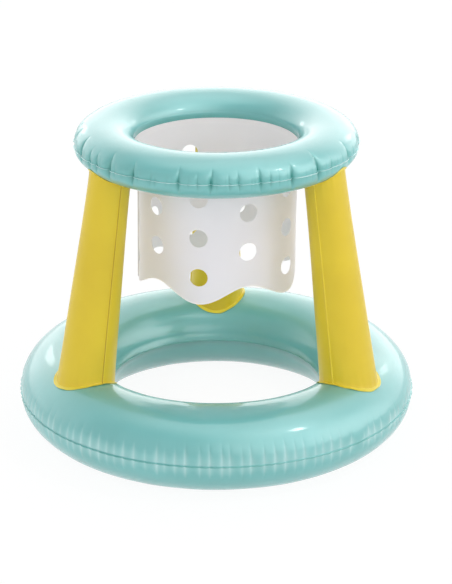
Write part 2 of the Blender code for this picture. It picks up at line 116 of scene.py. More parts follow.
def new_tree(name: str, sockets: dict[str, str]) -> tuple[Nodes, bpy.types.Node]:
    """Starts a geometry tree with named inputs.

    Args:
        name: The tree's name.
        sockets: Each input's name and socket type.

    Returns:
        The tree and its input node.
    """
    tree = bpy.data.node_groups.new(name, "GeometryNodeTree")
    tree.interface.new_socket("Geometry", in_out="OUTPUT", socket_type="NodeSocketGeometry")
    for label, kind in sockets.items():
        tree.interface.new_socket(label, in_out="INPUT", socket_type=kind)
    return tree, add_node(tree, "NodeGroupInput")


def end_tree(tree: Nodes, geometry: Socket, vinyl: Socket) -> None:
    """Ends a geometry tree in real, smooth and finished faces."""
    real = add_node(tree, "GeometryNodeRealizeInstances", {"Geometry": geometry})
    smooth = add_node(tree, "GeometryNodeSetShadeSmooth", {"Geometry": real.outputs[0]})
    finished = add_node(tree, "GeometryNodeSetMaterial", {"Geometry": smooth.outputs[0], "Material": vinyl})
    add_node(tree, "NodeGroupOutput", {"Geometry": finished.outputs[0]})


def plain_mesh(host: Object, name: str) -> Object:
    """Turns a host and its modifiers to one plain mesh, in place of the host.

    Args:
        host: An object whose evaluated shape is wanted.
        name: The name of the piece.

    Returns:
        The piece, whose place is in its mesh.
    """
    bpy.context.view_layer.update()
    graph = bpy.context.evaluated_depsgraph_get()
    mesh = bpy.data.meshes.new_from_object(host.evaluated_get(graph))
    mesh.transform(host.matrix_world)
    bpy.data.objects.remove(host)
    mesh.name = name
    piece = bpy.data.objects.new(name, mesh)
    bpy.context.scene.collection.objects.link(piece)
    return piece


def grow(tree: Nodes, host: Object, values: dict[str, object], name: str) -> Object:
    """Runs a geometry tree on a host and keeps the result as a plain mesh.

    Args:
        tree: The geometry tree.
        host: The object that the tree starts from.
        values: A value for each named input.
        name: The name of the piece.

    Returns:
        The piece.
    """
    modifier = host.modifiers.new(tree.name, "NODES")
    modifier.node_group = tree
    for item in tree.interface.items_tree:
        if item.in_out == "INPUT" and item.name in values:
            modifier[item.identifier] = values[item.name]
    return plain_mesh(host, name)


def mesh_object(name: str, points: Sequence, faces: Sequence, material: bpy.types.Material | None = None) -> Object:
    """Makes a mesh object from points and faces."""
    mesh = bpy.data.meshes.new(name)
    mesh.from_pydata([tuple(point) for point in points], [], [tuple(face) for face in faces])
    if material:
        mesh.materials.append(material)
    obj = bpy.data.objects.new(name, mesh)
    bpy.context.scene.collection.objects.link(obj)
    return obj


def dress(piece: Object, body: str, slot: Slot, *nodes: str) -> None:
    """Ties a finished piece to its body and hides the nodes that it stands for."""
    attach(piece, body)
    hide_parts(*nodes)
    LOG.info("%s: %d faces, rides on %s", piece.name, len(piece.data.polygons), body)


# Finishes


@dataclass(frozen=True)
class CalenderedVinyl:
    """Plasticised PVC sheet, calendered to a gloss, dyed through and heat-welded.

    The eye gets a faint cloudiness in the dye, a clear gloss over a slightly softer one
    that breaks up where the rollers left an orange peel, and a knurled weld. Painted shade
    deepens the colour along the seams, in the hoop's gathers and on one side of a leg's weld;
    painted highlights pale it on the hoop's weld lip, along the base's flutes, on the other
    side of a leg's weld and on the legs' flanges.
    """

    name: str
    colour: str
    cloud: str
    painted_shade: str
    pale_and_painted_light: str
    cloud_size: float = 90 * MM
    peel_size: float = 18 * MM
    peel_height: float = 0.10 * MM
    grain_size: float = 3 * MM
    grain_height: float = 0.004 * MM
    knurl_pitch: float = 2.0 * MM
    knurl_height: float = 0.12 * MM
    roughness: tuple[float, float] = (0.42, 0.50)
    sheen_level: float = 1.0
    coat: float = 0.3
    coat_roughness: float = 0.10
    ior: float = 1.53
    glow: float = 0.10
    glow_depth: float = 6 * MM

    def dye_and_painted_light(self, tree: Nodes, place: Socket) -> Socket:
        """The dye, cloudy, with painted light on it: painted shade where the painted light is under zero, painted
        highlight where it is over.
        """
        cloud = add_node(tree, "ShaderNodeTexNoise", {"Vector": place, "Scale": 1 / self.cloud_size, "Detail": 3.0})
        cloudy = add_node(
            tree, "ShaderNodeMapRange", {"Value": cloud.outputs["Fac"], "From Min": 0.35, "From Max": 0.65}
        )
        tone = add_node(tree, "ShaderNodeAttribute", attribute_name="tone").outputs["Fac"]
        # Painted light under zero mixes towards the painted shade colour, over zero towards the pale colour as a
        # painted highlight.
        painted_light_share = add_node(tree, "ShaderNodeMapRange", {"Value": tone, "From Min": 0.0, "From Max": -1.0})
        painted_highlight_share = add_node(tree, "ShaderNodeMapRange", {"Value": tone, "From Min": 0.0, "From Max": 1.0})
        colour = None
        for share, other in ((cloudy, self.cloud), (painted_light_share, self.painted_shade), (painted_highlight_share, self.pale_and_painted_light)):
            mixed = add_node(
                tree,
                "ShaderNodeMix",
                {0: share.outputs["Result"], 6: colour or linear(self.colour), 7: linear(other)},
                data_type="RGBA",
            )
            colour = mixed.outputs[2]
        return colour

    def relief(self, tree: Nodes, place: Socket, grain: Socket) -> Socket:
        """The orange peel, the fine grain and the weld's knurl, one bump over the other."""
        peel = add_node(tree, "ShaderNodeTexNoise", {"Vector": place, "Scale": 1 / self.peel_size, "Detail": 1.5})
        knurl = add_node(tree, "ShaderNodeTexVoronoi", {"Vector": place, "Scale": 1 / self.knurl_pitch})
        weld = add_node(tree, "ShaderNodeAttribute", attribute_name="weld")
        pressed = add_node(
            tree, "ShaderNodeMath", {0: knurl.outputs["Distance"], 1: weld.outputs["Fac"]}, operation="MULTIPLY"
        )
        peeled = add_node(tree, "ShaderNodeBump", {"Height": peel.outputs["Fac"], "Distance": self.peel_height})
        grained = add_node(
            tree, "ShaderNodeBump", {"Height": grain, "Distance": self.grain_height, "Normal": peeled.outputs[0]}
        )
        knurled = add_node(
            tree,
            "ShaderNodeBump",
            {"Height": pressed.outputs[0], "Distance": self.knurl_height, "Normal": grained.outputs[0]},
        )
        return knurled.outputs[0]

    def make(self) -> bpy.types.Material:
        """Builds the material."""
        made = bpy.data.materials.new(self.name)
        made.use_nodes = True
        tree = made.node_tree
        shader = tree.nodes["Principled BSDF"]
        place = add_node(tree, "ShaderNodeTexCoord").outputs["Object"]
        grain = add_node(tree, "ShaderNodeTexNoise", {"Vector": place, "Scale": 1 / self.grain_size, "Detail": 3.0})
        low, high = self.roughness
        gloss = add_node(
            tree,
            "ShaderNodeMapRange",
            {"Value": grain.outputs["Fac"], "From Min": 0.3, "From Max": 0.7, "To Min": low, "To Max": high},
        )
        tree.links.new(self.dye_and_painted_light(tree, place), shader.inputs["Base Color"])
        tree.links.new(gloss.outputs["Result"], shader.inputs["Roughness"])
        tree.links.new(self.relief(tree, place, grain.outputs["Fac"]), shader.inputs["Normal"])
        shader.inputs["IOR"].default_value = self.ior
        shader.inputs["Specular IOR Level"].default_value = self.sheen_level
        shader.inputs["Coat Weight"].default_value = self.coat
        shader.inputs["Coat Roughness"].default_value = self.coat_roughness
        shader.inputs["Subsurface Weight"].default_value = self.glow
        shader.inputs["Subsurface Radius"].default_value = (1.0, 1.0, 1.0)
        shader.inputs["Subsurface Scale"].default_value = self.glow_depth
        return made


@dataclass(frozen=True)
class FrostedVinyl:
    """Unsupported white PVC film with a frosted calender finish, punched with round holes.

    The film lets some light through, so it glows a little at its edges, its matt face
    shows only broad soft reflections, and it is whiter where two layers are welded. Its
    inner face is paler by painted light, which stands in for the light that comes through
    the film.
    """

    name: str = "frosted_white_pvc_film"
    colour: str = "#EFEAEF"
    cloud: str = "#EAE5E9"
    pale_and_painted_light: str = "#FFF8F9"
    cloud_size: float = 120 * MM
    frost_size: float = 2.0 * MM
    frost_height: float = 0.004 * MM
    slack_size: float = 45 * MM
    slack_height: float = 0.35 * MM
    roughness: tuple[float, float] = (0.40, 0.50)
    glow: float = 0.15
    glow_depth: float = 3 * MM

    def make(self) -> bpy.types.Material:
        """Builds the material."""
        made = bpy.data.materials.new(self.name)
        made.use_nodes = True
        tree = made.node_tree
        shader = tree.nodes["Principled BSDF"]
        place = add_node(tree, "ShaderNodeTexCoord").outputs["Object"]
        cloud = add_node(tree, "ShaderNodeTexNoise", {"Vector": place, "Scale": 1 / self.cloud_size, "Detail": 2.0})
        clouded = add_node(
            tree,
            "ShaderNodeMix",
            {0: cloud.outputs["Fac"], 6: linear(self.colour), 7: linear(self.cloud)},
            data_type="RGBA",
        )
        # On the sleeve this share also holds the painted light on the film's inner face.
        weld = add_node(tree, "ShaderNodeAttribute", attribute_name="weld")
        colour = add_node(
            tree,
            "ShaderNodeMix",
            {0: weld.outputs["Fac"], 6: clouded.outputs[2], 7: linear(self.pale_and_painted_light)},
            data_type="RGBA",
        )
        frost = add_node(tree, "ShaderNodeTexNoise", {"Vector": place, "Scale": 1 / self.frost_size, "Detail": 4.0})
        low, high = self.roughness
        gloss = add_node(
            tree,
            "ShaderNodeMapRange",
            {"Value": frost.outputs["Fac"], "From Min": 0.3, "From Max": 0.7, "To Min": low, "To Max": high},
        )
        slack = add_node(tree, "ShaderNodeTexNoise", {"Vector": place, "Scale": 1 / self.slack_size, "Detail": 1.0})
        slackened = add_node(tree, "ShaderNodeBump", {"Height": slack.outputs["Fac"], "Distance": self.slack_height})
        frosted = add_node(
            tree,
            "ShaderNodeBump",
            {"Height": frost.outputs["Fac"], "Distance": self.frost_height, "Normal": slackened.outputs[0]},
        )
        tree.links.new(colour.outputs[2], shader.inputs["Base Color"])
        tree.links.new(gloss.outputs["Result"], shader.inputs["Roughness"])
        tree.links.new(frosted.outputs[0], shader.inputs["Normal"])
        shader.inputs["IOR"].default_value = 1.53
        shader.inputs["Subsurface Weight"].default_value = self.glow
        shader.inputs["Subsurface Radius"].default_value = (1.0, 1.0, 1.0)
        shader.inputs["Subsurface Scale"].default_value = self.glow_depth
        return made


@dataclass(frozen=True)
class MouldedVinyl:
    """Injection-moulded clear flexible PVC, as valves are made of: slightly milky and glossy."""

    name: str = "moulded_clear_flexible_pvc"
    colour: str = "#E4F0EF"
    milk: str = "#D3E6E4"
    flow_size: float = 6 * MM
    flow_height: float = 0.03 * MM

    def make(self) -> bpy.types.Material:
        """Builds the material."""
        made = bpy.data.materials.new(self.name)
        made.use_nodes = True
        tree = made.node_tree
        shader = tree.nodes["Principled BSDF"]
        place = add_node(tree, "ShaderNodeTexCoord").outputs["Object"]
        flow = add_node(tree, "ShaderNodeTexNoise", {"Vector": place, "Scale": 1 / self.flow_size, "Detail": 3.0})
        colour = add_node(
            tree,
            "ShaderNodeMix",
            {0: flow.outputs["Fac"], 6: linear(self.colour), 7: linear(self.milk)},
            data_type="RGBA",
        )
        gloss = add_node(
            tree, "ShaderNodeMapRange", {"Value": flow.outputs["Fac"], "To Min": 0.10, "To Max": 0.24}
        )
        bump = add_node(tree, "ShaderNodeBump", {"Height": flow.outputs["Fac"], "Distance": self.flow_height})
        tree.links.new(colour.outputs[2], shader.inputs["Base Color"])
        tree.links.new(gloss.outputs["Result"], shader.inputs["Roughness"])
        tree.links.new(bump.outputs[0], shader.inputs["Normal"])
        shader.inputs["IOR"].default_value = 1.53
        shader.inputs["Transmission Weight"].default_value = 0.45
        return made


# Inflated rings


@dataclass(frozen=True)
class Pucker:
    """A gather in the outer seam: degrees from the front towards +X, other sizes in mm."""

    azimuth: float
    depth: float
    width: float
    above: float
    below: float
    lean: float = 0.0


PUCKER_FACTS = {
    "position": "FLOAT_VECTOR",
    "along": "FLOAT_VECTOR",
    "depth": "FLOAT",
    "width": "FLOAT",
    "above": "FLOAT",
    "below": "FLOAT",
    "lean": "FLOAT",
}
# A valley is a sharp cusp in a dish some times as wide, with this much of the depth in the cusp.
CUSP_SHARE = 0.55
DISH_WIDTHS = 4.0
# A valley's width at the end of its reach, as a share of its width at the seam.
FAR_WIDTH_SHARE = 0.4


def pucker_facts(tree: Nodes, puckers: Socket, turn: Socket) -> dict[str, Socket]:
    """Reads the facts of the pucker whose turn it is."""
    facts = {}
    for name, kind in PUCKER_FACTS.items():
        read = add_node(tree, "GeometryNodeInputNamedAttribute", {"Name": name}, data_type=kind)
        facts[name] = add_node(
            tree,
            "GeometryNodeSampleIndex",
            {"Geometry": puckers, "Value": read.outputs["Attribute"], "Index": turn},
            data_type=kind,
            domain="POINT",
        ).outputs["Value"]
    return facts


def valley_shape(tree: Nodes, place: Socket, fact: dict[str, Socket]) -> Socket:
    """How much of its depth a pucker has at a place: a cusp in a dish, fading off the seam."""
    away = add_node(tree, "ShaderNodeVectorMath", {0: place, 1: fact["position"]}, operation="SUBTRACT")
    sideways = add_node(
        tree, "ShaderNodeVectorMath", {0: away.outputs[0], 1: fact["along"]}, operation="DOT_PRODUCT"
    ).outputs["Value"]
    height = add_node(tree, "ShaderNodeSeparateXYZ", {0: away.outputs[0]}).outputs["Z"]
    leaning = add_node(
        tree, "ShaderNodeMath", {0: height, 1: fact["lean"], 2: sideways}, operation="MULTIPLY_ADD"
    )
    along = add_node(tree, "ShaderNodeVectorMath", {0: fact["along"], "Scale": sideways}, operation="SCALE")
    across = add_node(tree, "ShaderNodeVectorMath", {0: away.outputs[0], 1: along.outputs[0]}, operation="DISTANCE")
    over_seam = add_node(tree, "ShaderNodeMath", {0: height, 1: 0.0}, operation="GREATER_THAN")
    reach = add_node(
        tree, "ShaderNodeMix", {0: over_seam.outputs[0], 2: fact["below"], 3: fact["above"]}, data_type="FLOAT"
    )
    fade = add_node(
        tree,
        "ShaderNodeMapRange",
        {"Value": across.outputs["Value"], "From Min": 0.0, "From Max": reach.outputs[0], "To Min": 1.0, "To Max": 0.0},
        interpolation_type="SMOOTHSTEP",
    ).outputs["Result"]
    narrowing = add_node(
        tree, "ShaderNodeMath", {0: fade, 1: 1 - FAR_WIDTH_SHARE, 2: FAR_WIDTH_SHARE}, operation="MULTIPLY_ADD"
    )
    width = add_node(tree, "ShaderNodeMath", {0: fact["width"], 1: narrowing.outputs[0]}, operation="MULTIPLY")
    distance = add_node(tree, "ShaderNodeMath", {0: leaning.outputs[0]}, operation="ABSOLUTE")
    widths = add_node(tree, "ShaderNodeMath", {0: distance.outputs[0], 1: width.outputs[0]}, operation="DIVIDE")
    dishes = add_node(tree, "ShaderNodeMath", {0: widths.outputs[0], 1: 1 / DISH_WIDTHS}, operation="MULTIPLY")
    shape = 0.0
    for steps, share in ((widths, CUSP_SHARE), (dishes, 1 - CUSP_SHARE)):
        cusp = add_node(tree, "ShaderNodeMath", {0: 1 / math.e, 1: steps.outputs[0]}, operation="POWER")
        shape = add_node(
            tree, "ShaderNodeMath", {0: cusp.outputs[0], 1: share, 2: shape}, operation="MULTIPLY_ADD"
        ).outputs[0]
    return add_node(tree, "ShaderNodeMath", {0: shape, 1: fade}, operation="MULTIPLY").outputs[0]


def puckered(tree: Nodes, geometry: Socket, puckers: Socket, place: Socket) -> Socket:
    """Stores on a tube how far each point is drawn in, one pucker after the other."""
    count = add_node(tree, "GeometryNodeAttributeDomainSize", {"Geometry": puckers}, component="MESH")
    closing = add_node(tree, "GeometryNodeRepeatOutput")
    opening = add_node(
        tree,
        "GeometryNodeRepeatInput",
        {"Iterations": count.outputs["Point Count"], "Geometry": geometry},
        pair=closing,
    )
    fact = pucker_facts(tree, puckers, opening.outputs["Iteration"])
    before = add_node(tree, "GeometryNodeInputNamedAttribute", {"Name": "drawn"}, data_type="FLOAT")
    drawn = add_node(
        tree,
        "ShaderNodeMath",
        {0: valley_shape(tree, place, fact), 1: fact["depth"], 2: before.outputs["Attribute"]},
        operation="MULTIPLY_ADD",
    )
    stored = add_node(
        tree,
        "GeometryNodeStoreNamedAttribute",
        {"Geometry": opening.outputs["Geometry"], "Name": "drawn", "Value": drawn.outputs[0]},
        data_type="FLOAT",
        domain="POINT",
    )
    tree.links.new(stored.outputs["Geometry"], closing.inputs["Geometry"])
    return closing.outputs["Geometry"]


def with_painted_light(tree: Nodes, geometry: Socket, given: bpy.types.Node, place: Socket, beyond: Socket) -> Socket:
    """Stores the weld's share of each point, and its painted light: painted shade along the seams and in the hoop's
    gathers, painted highlights on the hoop's weld lip and along the base's flutes.

    Args:
        tree: The ring tree.
        geometry: The tube with its "drawn" depths.
        given: The tree's inputs.
        place: Each point's place, from the middle of the ring.
        beyond: How far each point lies outside the outer seam.

    Returns:
        The tube with "weld" and "tone".
    """
    weld = add_node(tree, "ShaderNodeMapRange", {"Value": beyond, "From Min": 0.0, "From Max": given.outputs["Weld Width"]})
    marked = add_node(
        tree,
        "GeometryNodeStoreNamedAttribute",
        {"Geometry": geometry, "Name": "weld", "Value": weld.outputs["Result"]},
        data_type="FLOAT",
        domain="POINT",
    )
    # A narrow band along each seam gets painted shade, as in the crease where the lip meets the tube; on the hoop's
    # outer seam it is a faint painted highlight instead.
    height = add_node(tree, "ShaderNodeSeparateXYZ", {0: place}).outputs["Z"]
    off_seam = add_node(tree, "ShaderNodeMath", {0: height}, operation="ABSOLUTE")
    line = add_node(
        tree,
        "ShaderNodeMapRange",
        {"Value": off_seam.outputs[0], "From Min": 0.0, "From Max": given.outputs["Line Height"], "To Min": 1.0, "To Max": 0.0},
        interpolation_type="SMOOTHSTEP",
    )
    outer_half = add_node(tree, "ShaderNodeMath", {0: beyond, 1: -0.02}, operation="GREATER_THAN")
    depth = add_node(
        tree,
        "ShaderNodeMix",
        {0: outer_half.outputs[0], 2: given.outputs["Inner Line"], 3: given.outputs["Outer Line"]},
        data_type="FLOAT",
    )
    tone = add_node(tree, "ShaderNodeMath", {0: line.outputs["Result"], 1: depth.outputs[0]}, operation="MULTIPLY")
    # How far the skin is drawn in sets the gathers' painted light: painted shade in the hoop's creases, painted
    # highlights along the base's flutes.
    drawn = add_node(tree, "GeometryNodeInputNamedAttribute", {"Name": "drawn"}, data_type="FLOAT")
    painted_light_share = add_node(
        tree,
        "ShaderNodeMapRange",
        {
            "Value": drawn.outputs["Attribute"],
            "From Min": given.outputs["Gather Floor"],
            "From Max": given.outputs["Gather Depth"],
        },
    )
    # The weld share adds a painted highlight on the lip, strong on the hoop and none on the base.
    for share, strength in (
        (weld.outputs["Result"], given.outputs["Weld Tone"]),
        (painted_light_share.outputs["Result"], given.outputs["Gather Tone"]),
    ):
        tone = add_node(tree, "ShaderNodeMath", {0: share, 1: strength, 2: tone.outputs[0]}, operation="MULTIPLY_ADD")
    return add_node(
        tree,
        "GeometryNodeStoreNamedAttribute",
        {"Geometry": marked.outputs["Geometry"], "Name": "tone", "Value": tone.outputs[0]},
        data_type="FLOAT",
        domain="POINT",
    ).outputs["Geometry"]


def drawn_in(tree: Nodes, geometry: Socket, given: bpy.types.Node, place: Socket, outward: Socket) -> Socket:
    """Moves each point towards the middle of the tube by its "drawn" depth."""
    core = add_node(
        tree, "ShaderNodeVectorMath", {0: outward, "Scale": given.outputs["Ring Radius"]}, operation="SCALE"
    )
    inward = add_node(tree, "ShaderNodeVectorMath", {0: core.outputs[0], 1: place}, operation="SUBTRACT")
    direction = add_node(tree, "ShaderNodeVectorMath", {0: inward.outputs[0]}, operation="NORMALIZE")
    drawn = add_node(tree, "GeometryNodeInputNamedAttribute", {"Name": "drawn"}, data_type="FLOAT")
    pulled = add_node(
        tree,
        "ShaderNodeVectorMath",
        {0: direction.outputs[0], "Scale": drawn.outputs["Attribute"]},
        operation="SCALE",
    )
    return add_node(
        tree, "GeometryNodeSetPosition", {"Geometry": geometry, "Offset": pulled.outputs[0]}
    ).outputs["Geometry"]


def uneven(tree: Nodes, place: Socket, size: Socket, height: Socket) -> Socket:
    """A noise from minus to plus half a height, over waves of a size."""
    scale = add_node(tree, "ShaderNodeMath", {0: 1.0, 1: size}, operation="DIVIDE")
    noise = add_node(tree, "ShaderNodeTexNoise", {"Vector": place, "Scale": scale.outputs[0], "Detail": 1.0})
    centred = add_node(tree, "ShaderNodeMath", {0: noise.outputs["Fac"], 1: 0.5}, operation="SUBTRACT")
    return add_node(tree, "ShaderNodeMath", {0: centred.outputs[0], 1: height}, operation="MULTIPLY").outputs[0]


def loosened(tree: Nodes, geometry: Socket, given: bpy.types.Node, place: Socket) -> Socket:
    """Waves the lip up and down, and lets the skin swell and sink a little."""
    ripple = uneven(tree, place, given.outputs["Ripple Size"], given.outputs["Ripple"])
    weld = add_node(tree, "GeometryNodeInputNamedAttribute", {"Name": "weld"}, data_type="FLOAT")
    tall = add_node(tree, "ShaderNodeMath", {0: ripple, 1: weld.outputs["Attribute"]}, operation="MULTIPLY")
    rise = add_node(tree, "ShaderNodeCombineXYZ", {"Z": tall.outputs[0]})
    waved = add_node(tree, "GeometryNodeSetPosition", {"Geometry": geometry, "Offset": rise.outputs[0]})
    slack = uneven(tree, place, given.outputs["Slack Size"], given.outputs["Slackness"])
    normal = add_node(tree, "GeometryNodeInputNormal").outputs[0]
    swell = add_node(tree, "ShaderNodeVectorMath", {0: normal, "Scale": slack}, operation="SCALE")
    return add_node(
        tree, "GeometryNodeSetPosition", {"Geometry": waved.outputs["Geometry"], "Offset": swell.outputs[0]}
    ).outputs["Geometry"]


def ring_tree() -> Nodes:
    """The tree that sweeps a section round a ring and draws its seam in at every pucker."""
    lengths = (
        "Ring Radius", "Seam Radius", "Weld Width", "Weld Tone", "Line Height", "Outer Line", "Inner Line",
        "Gather Floor", "Gather Depth", "Gather Tone", "Ripple", "Ripple Size", "Slackness", "Slack Size",
    )  # fmt: skip
    tree, given = new_tree(
        "inflated_ring",
        {
            "Section": "NodeSocketGeometry",
            "Columns": "NodeSocketInt",
            "Puckers": "NodeSocketObject",
            "Recess": "NodeSocketObject",
            "Vinyl": "NodeSocketMaterial",
            **{length: "NodeSocketFloat" for length in lengths},
        },
    )
    circle = add_node(
        tree,
        "GeometryNodeCurvePrimitiveCircle",
        {"Resolution": given.outputs["Columns"], "Radius": given.outputs["Ring Radius"]},
        mode="RADIUS",
    )
    swept = add_node(
        tree,
        "GeometryNodeCurveToMesh",
        {"Curve": circle.outputs["Curve"], "Profile Curve": given.outputs["Section"]},
    )
    place = add_node(tree, "GeometryNodeInputPosition").outputs[0]
    flat = add_node(tree, "ShaderNodeVectorMath", {0: place, 1: (1.0, 1.0, 0.0)}, operation="MULTIPLY").outputs[0]
    outward = add_node(tree, "ShaderNodeVectorMath", {0: flat}, operation="NORMALIZE").outputs[0]
    radius = add_node(tree, "ShaderNodeVectorMath", {0: flat}, operation="LENGTH").outputs["Value"]
    beyond = add_node(
        tree, "ShaderNodeMath", {0: radius, 1: given.outputs["Seam Radius"]}, operation="SUBTRACT"
    ).outputs[0]
    puckers = add_node(tree, "GeometryNodeObjectInfo", {"Object": given.outputs["Puckers"]}).outputs["Geometry"]
    tube = puckered(tree, swept.outputs["Mesh"], puckers, place)
    tube = with_painted_light(tree, tube, given, place, beyond)
    tube = drawn_in(tree, tube, given, place, outward)
    tube = loosened(tree, tube, given, place)
    recess = add_node(
        tree, "GeometryNodeObjectInfo", {"Object": given.outputs["Recess"]}, transform_space="RELATIVE"
    ).outputs["Geometry"]
    pierced = add_node(
        tree,
        "GeometryNodeMeshBoolean",
        {"Mesh 1": tube, "Mesh 2": recess},
        operation="DIFFERENCE",
        solver="EXACT",
    )
    end_tree(tree, pierced.outputs["Mesh"], given.outputs["Vinyl"])
    return tree


@dataclass
class InflatedRing:
    """A ring of two annular sheets, welded along both edges and blown up."""

    name: str
    nodes: tuple[str, str]
    outer_radius: float
    hole_radius: float
    height: float
    centre_height: float
    columns: int
    puckers: list[Pucker]
    skirt: float = 0.0
    weld_lip: float = 2.5 * MM
    lip_half: float = 0.45 * MM
    sheet: float = 0.3 * MM
    fullness: float = math.cos(math.pi / 28)
    half_rows: int = 22
    crowding: float = 1.5
    ripple: float = 1.2 * MM
    ripple_size: float = 11 * MM
    slackness: float = 1.0 * MM
    slack_size: float = 70 * MM
    # Painted light on the ring: a highlight on the weld lip, a band of shade or highlight along each seam, and shade or
    # highlight in the gathers.
    weld_painted_highlight: float = 0.0
    line_height: float = 1.6 * MM
    outer_seam_painted_light: float = -0.8
    inner_seam_painted_light: float = -0.5
    gather_floor: float = 0.0
    gather_depth: float = 9 * MM
    gather_painted_light: float = -1.0

    @property
    def seam_radius(self) -> float:
        """Radius of the outer weld's inner edge."""
        return self.outer_radius - self.weld_lip

    @property
    def centre_radius(self) -> float:
        """Radius of the circle through the middle of the tube."""
        return (self.hole_radius + self.seam_radius) / 2

    @property
    def half_width(self) -> float:
        """Half the tube's width between its two seams."""
        return (self.seam_radius - self.hole_radius) / 2

    @property
    def half_height(self) -> float:
        """Height of the crown over the weld's outer face."""
        return self.height / 2 - self.lip_half

    @property
    def rise(self) -> float:
        """Height of the fuller oval that the tube's sides follow, which its crown stops short of."""
        return self.half_height / self.fullness

    def up(self, angle: float) -> float:
        """Height over the weld's face at an angle in the section."""
        sine = math.sin(angle)
        return (self.rise - (self.rise - self.half_height) * sine**4) * sine

    def arc(self) -> list[Point]:
        """Points over the tube from the outer seam to the inner one, closer together at the outer."""
        points = []
        for row in range(1, self.half_rows):
            angle = math.pi * (row / self.half_rows) ** self.crowding
            across = self.half_width * math.cos(angle)
            points.append((self.centre_radius + across, self.lip_half + self.up(angle)))
        return points

    def lip(self, seam: float, tip: float) -> list[Point]:
        """Points along a lip's upper face, from its tip to its seam."""
        shares = (0.0, 0.06, 0.3, 0.92, 1.0)
        heights = (0.0, 0.75, 1.0, 1.0, 1.1)
        return [(tip + (seam - tip) * share, self.lip_half * height) for share, height in zip(shares, heights)]

    def section(self) -> list[Point]:
        """The closed outline of the ring's section, from the outer lip over the top."""
        outer = self.lip(self.seam_radius, self.outer_radius)
        arc = self.arc()
        under = [(radius, -height) for radius, height in arc[::-1]]
        if self.skirt:
            lapped = self.hole_radius + 2 * self.sheet
            inner = [
                (self.hole_radius, self.lip_half),
                (self.hole_radius, -self.skirt / 2),
                (self.hole_radius, -self.skirt + self.sheet),
                (self.hole_radius + self.sheet, -self.skirt),
                (lapped, -self.skirt + self.sheet),
                (lapped, -self.skirt / 2),
                (lapped + self.sheet, -4 * self.lip_half),
            ]
        else:
            lip = self.lip(self.hole_radius, self.hole_radius - self.weld_lip)
            inner = [*lip[:0:-1], *[(radius, -height) for radius, height in lip]]
        return [*outer, *arc, *inner, *under, *[(radius, -height) for radius, height in outer[:0:-1]]]

    def section_curve(self) -> Object:
        """The section as a closed curve, measured from the middle of the tube."""
        curve = bpy.data.curves.new(f"{self.name}_section", "CURVE")
        curve.dimensions = "3D"
        outline = self.section()
        spline = curve.splines.new("POLY")
        spline.points.add(len(outline) - 1)
        for point, (radius, height) in zip(spline.points, outline):
            point.co = (radius - self.centre_radius, height, 0, 1)
        spline.use_cyclic_u = True
        obj = bpy.data.objects.new(curve.name, curve)
        bpy.context.scene.collection.objects.link(obj)
        return obj

    def pucker_points(self) -> Object:
        """The puckers as points on the seam that carry their sizes."""
        points, along = [], []
        for pucker in self.puckers:
            azimuth = math.radians(pucker.azimuth)
            points.append((self.seam_radius * math.sin(azimuth), -self.seam_radius * math.cos(azimuth), 0))
            along.append((math.cos(azimuth), math.sin(azimuth), 0))
        obj = mesh_object(f"{self.name}_puckers", points, [])
        facts = {
            "depth": [p.depth * MM for p in self.puckers],
            "width": [p.width * MM for p in self.puckers],
            "above": [p.above * MM for p in self.puckers],
            "below": [p.below * MM for p in self.puckers],
            "lean": [p.lean for p in self.puckers],
        }
        for name, values in facts.items():
            obj.data.attributes.new(name, "FLOAT", "POINT").data.foreach_set("value", values)
        directions = obj.data.attributes.new("along", "FLOAT_VECTOR", "POINT")
        directions.data.foreach_set("vector", [value for row in along for value in row])
        return obj

    def surface(self, azimuth: float, angle: float) -> tuple[Vector, Vector]:
        """A point on the tube's side and the outward normal there, for an azimuth from +X."""
        across = self.half_width * math.cos(angle)
        up = math.copysign(self.lip_half, angle) + self.rise * math.sin(angle)
        around = Vector((math.cos(azimuth), math.sin(azimuth), 0))
        normal = around * math.cos(angle) / self.half_width
        normal += Vector((0, 0, math.sin(angle) / self.rise))
        return around * (self.centre_radius + across) + Vector((0, 0, self.centre_height + up)), normal.normalized()

    def outside(self, points: np.ndarray, offset: np.ndarray | float) -> np.ndarray:
        """How far points lie outside the tube grown by an offset: under zero inside it."""
        across = (np.hypot(points[..., 0], points[..., 1]) - self.centre_radius) / (self.half_width + offset)
        up = np.maximum(np.abs(points[..., 2] - self.centre_height) - self.lip_half, 0.0)
        sine = np.sin(np.arctan2(up / self.rise, np.abs(across)))
        rise = self.rise - (self.rise - self.half_height) * sine**4
        return across**2 + (up / (rise + offset)) ** 2 - 1

    def build(self, tree: Nodes, vinyl: bpy.types.Material, recess: Object) -> Object:
        """Builds the ring.

        Args:
            tree: The ring tree.
            vinyl: The finish.
            recess: The form that the air valve's hole is cut with.

        Returns:
            The piece.
        """
        puckers = self.pucker_points()
        host = self.section_curve()
        recess.matrix_world = Matrix.Translation((0, 0, -self.centre_height)) @ recess.matrix_world
        values = {
            "Ring Radius": self.centre_radius,
            "Columns": self.columns,
            "Seam Radius": self.seam_radius,
            "Weld Width": self.weld_lip,
            "Weld Tone": self.weld_painted_highlight,
            "Line Height": self.line_height,
            "Outer Line": self.outer_seam_painted_light,
            "Inner Line": self.inner_seam_painted_light,
            "Gather Floor": self.gather_floor,
            "Gather Depth": self.gather_depth,
            "Gather Tone": self.gather_painted_light,
            "Ripple": self.ripple,
            "Ripple Size": self.ripple_size,
            "Slackness": self.slackness,
            "Slack Size": self.slack_size,
            "Puckers": puckers,
            "Recess": recess,
            "Vinyl": vinyl,
        }
        piece = grow(tree, host, values, self.name)
        piece.data.transform(Matrix.Translation((0, 0, self.centre_height)))
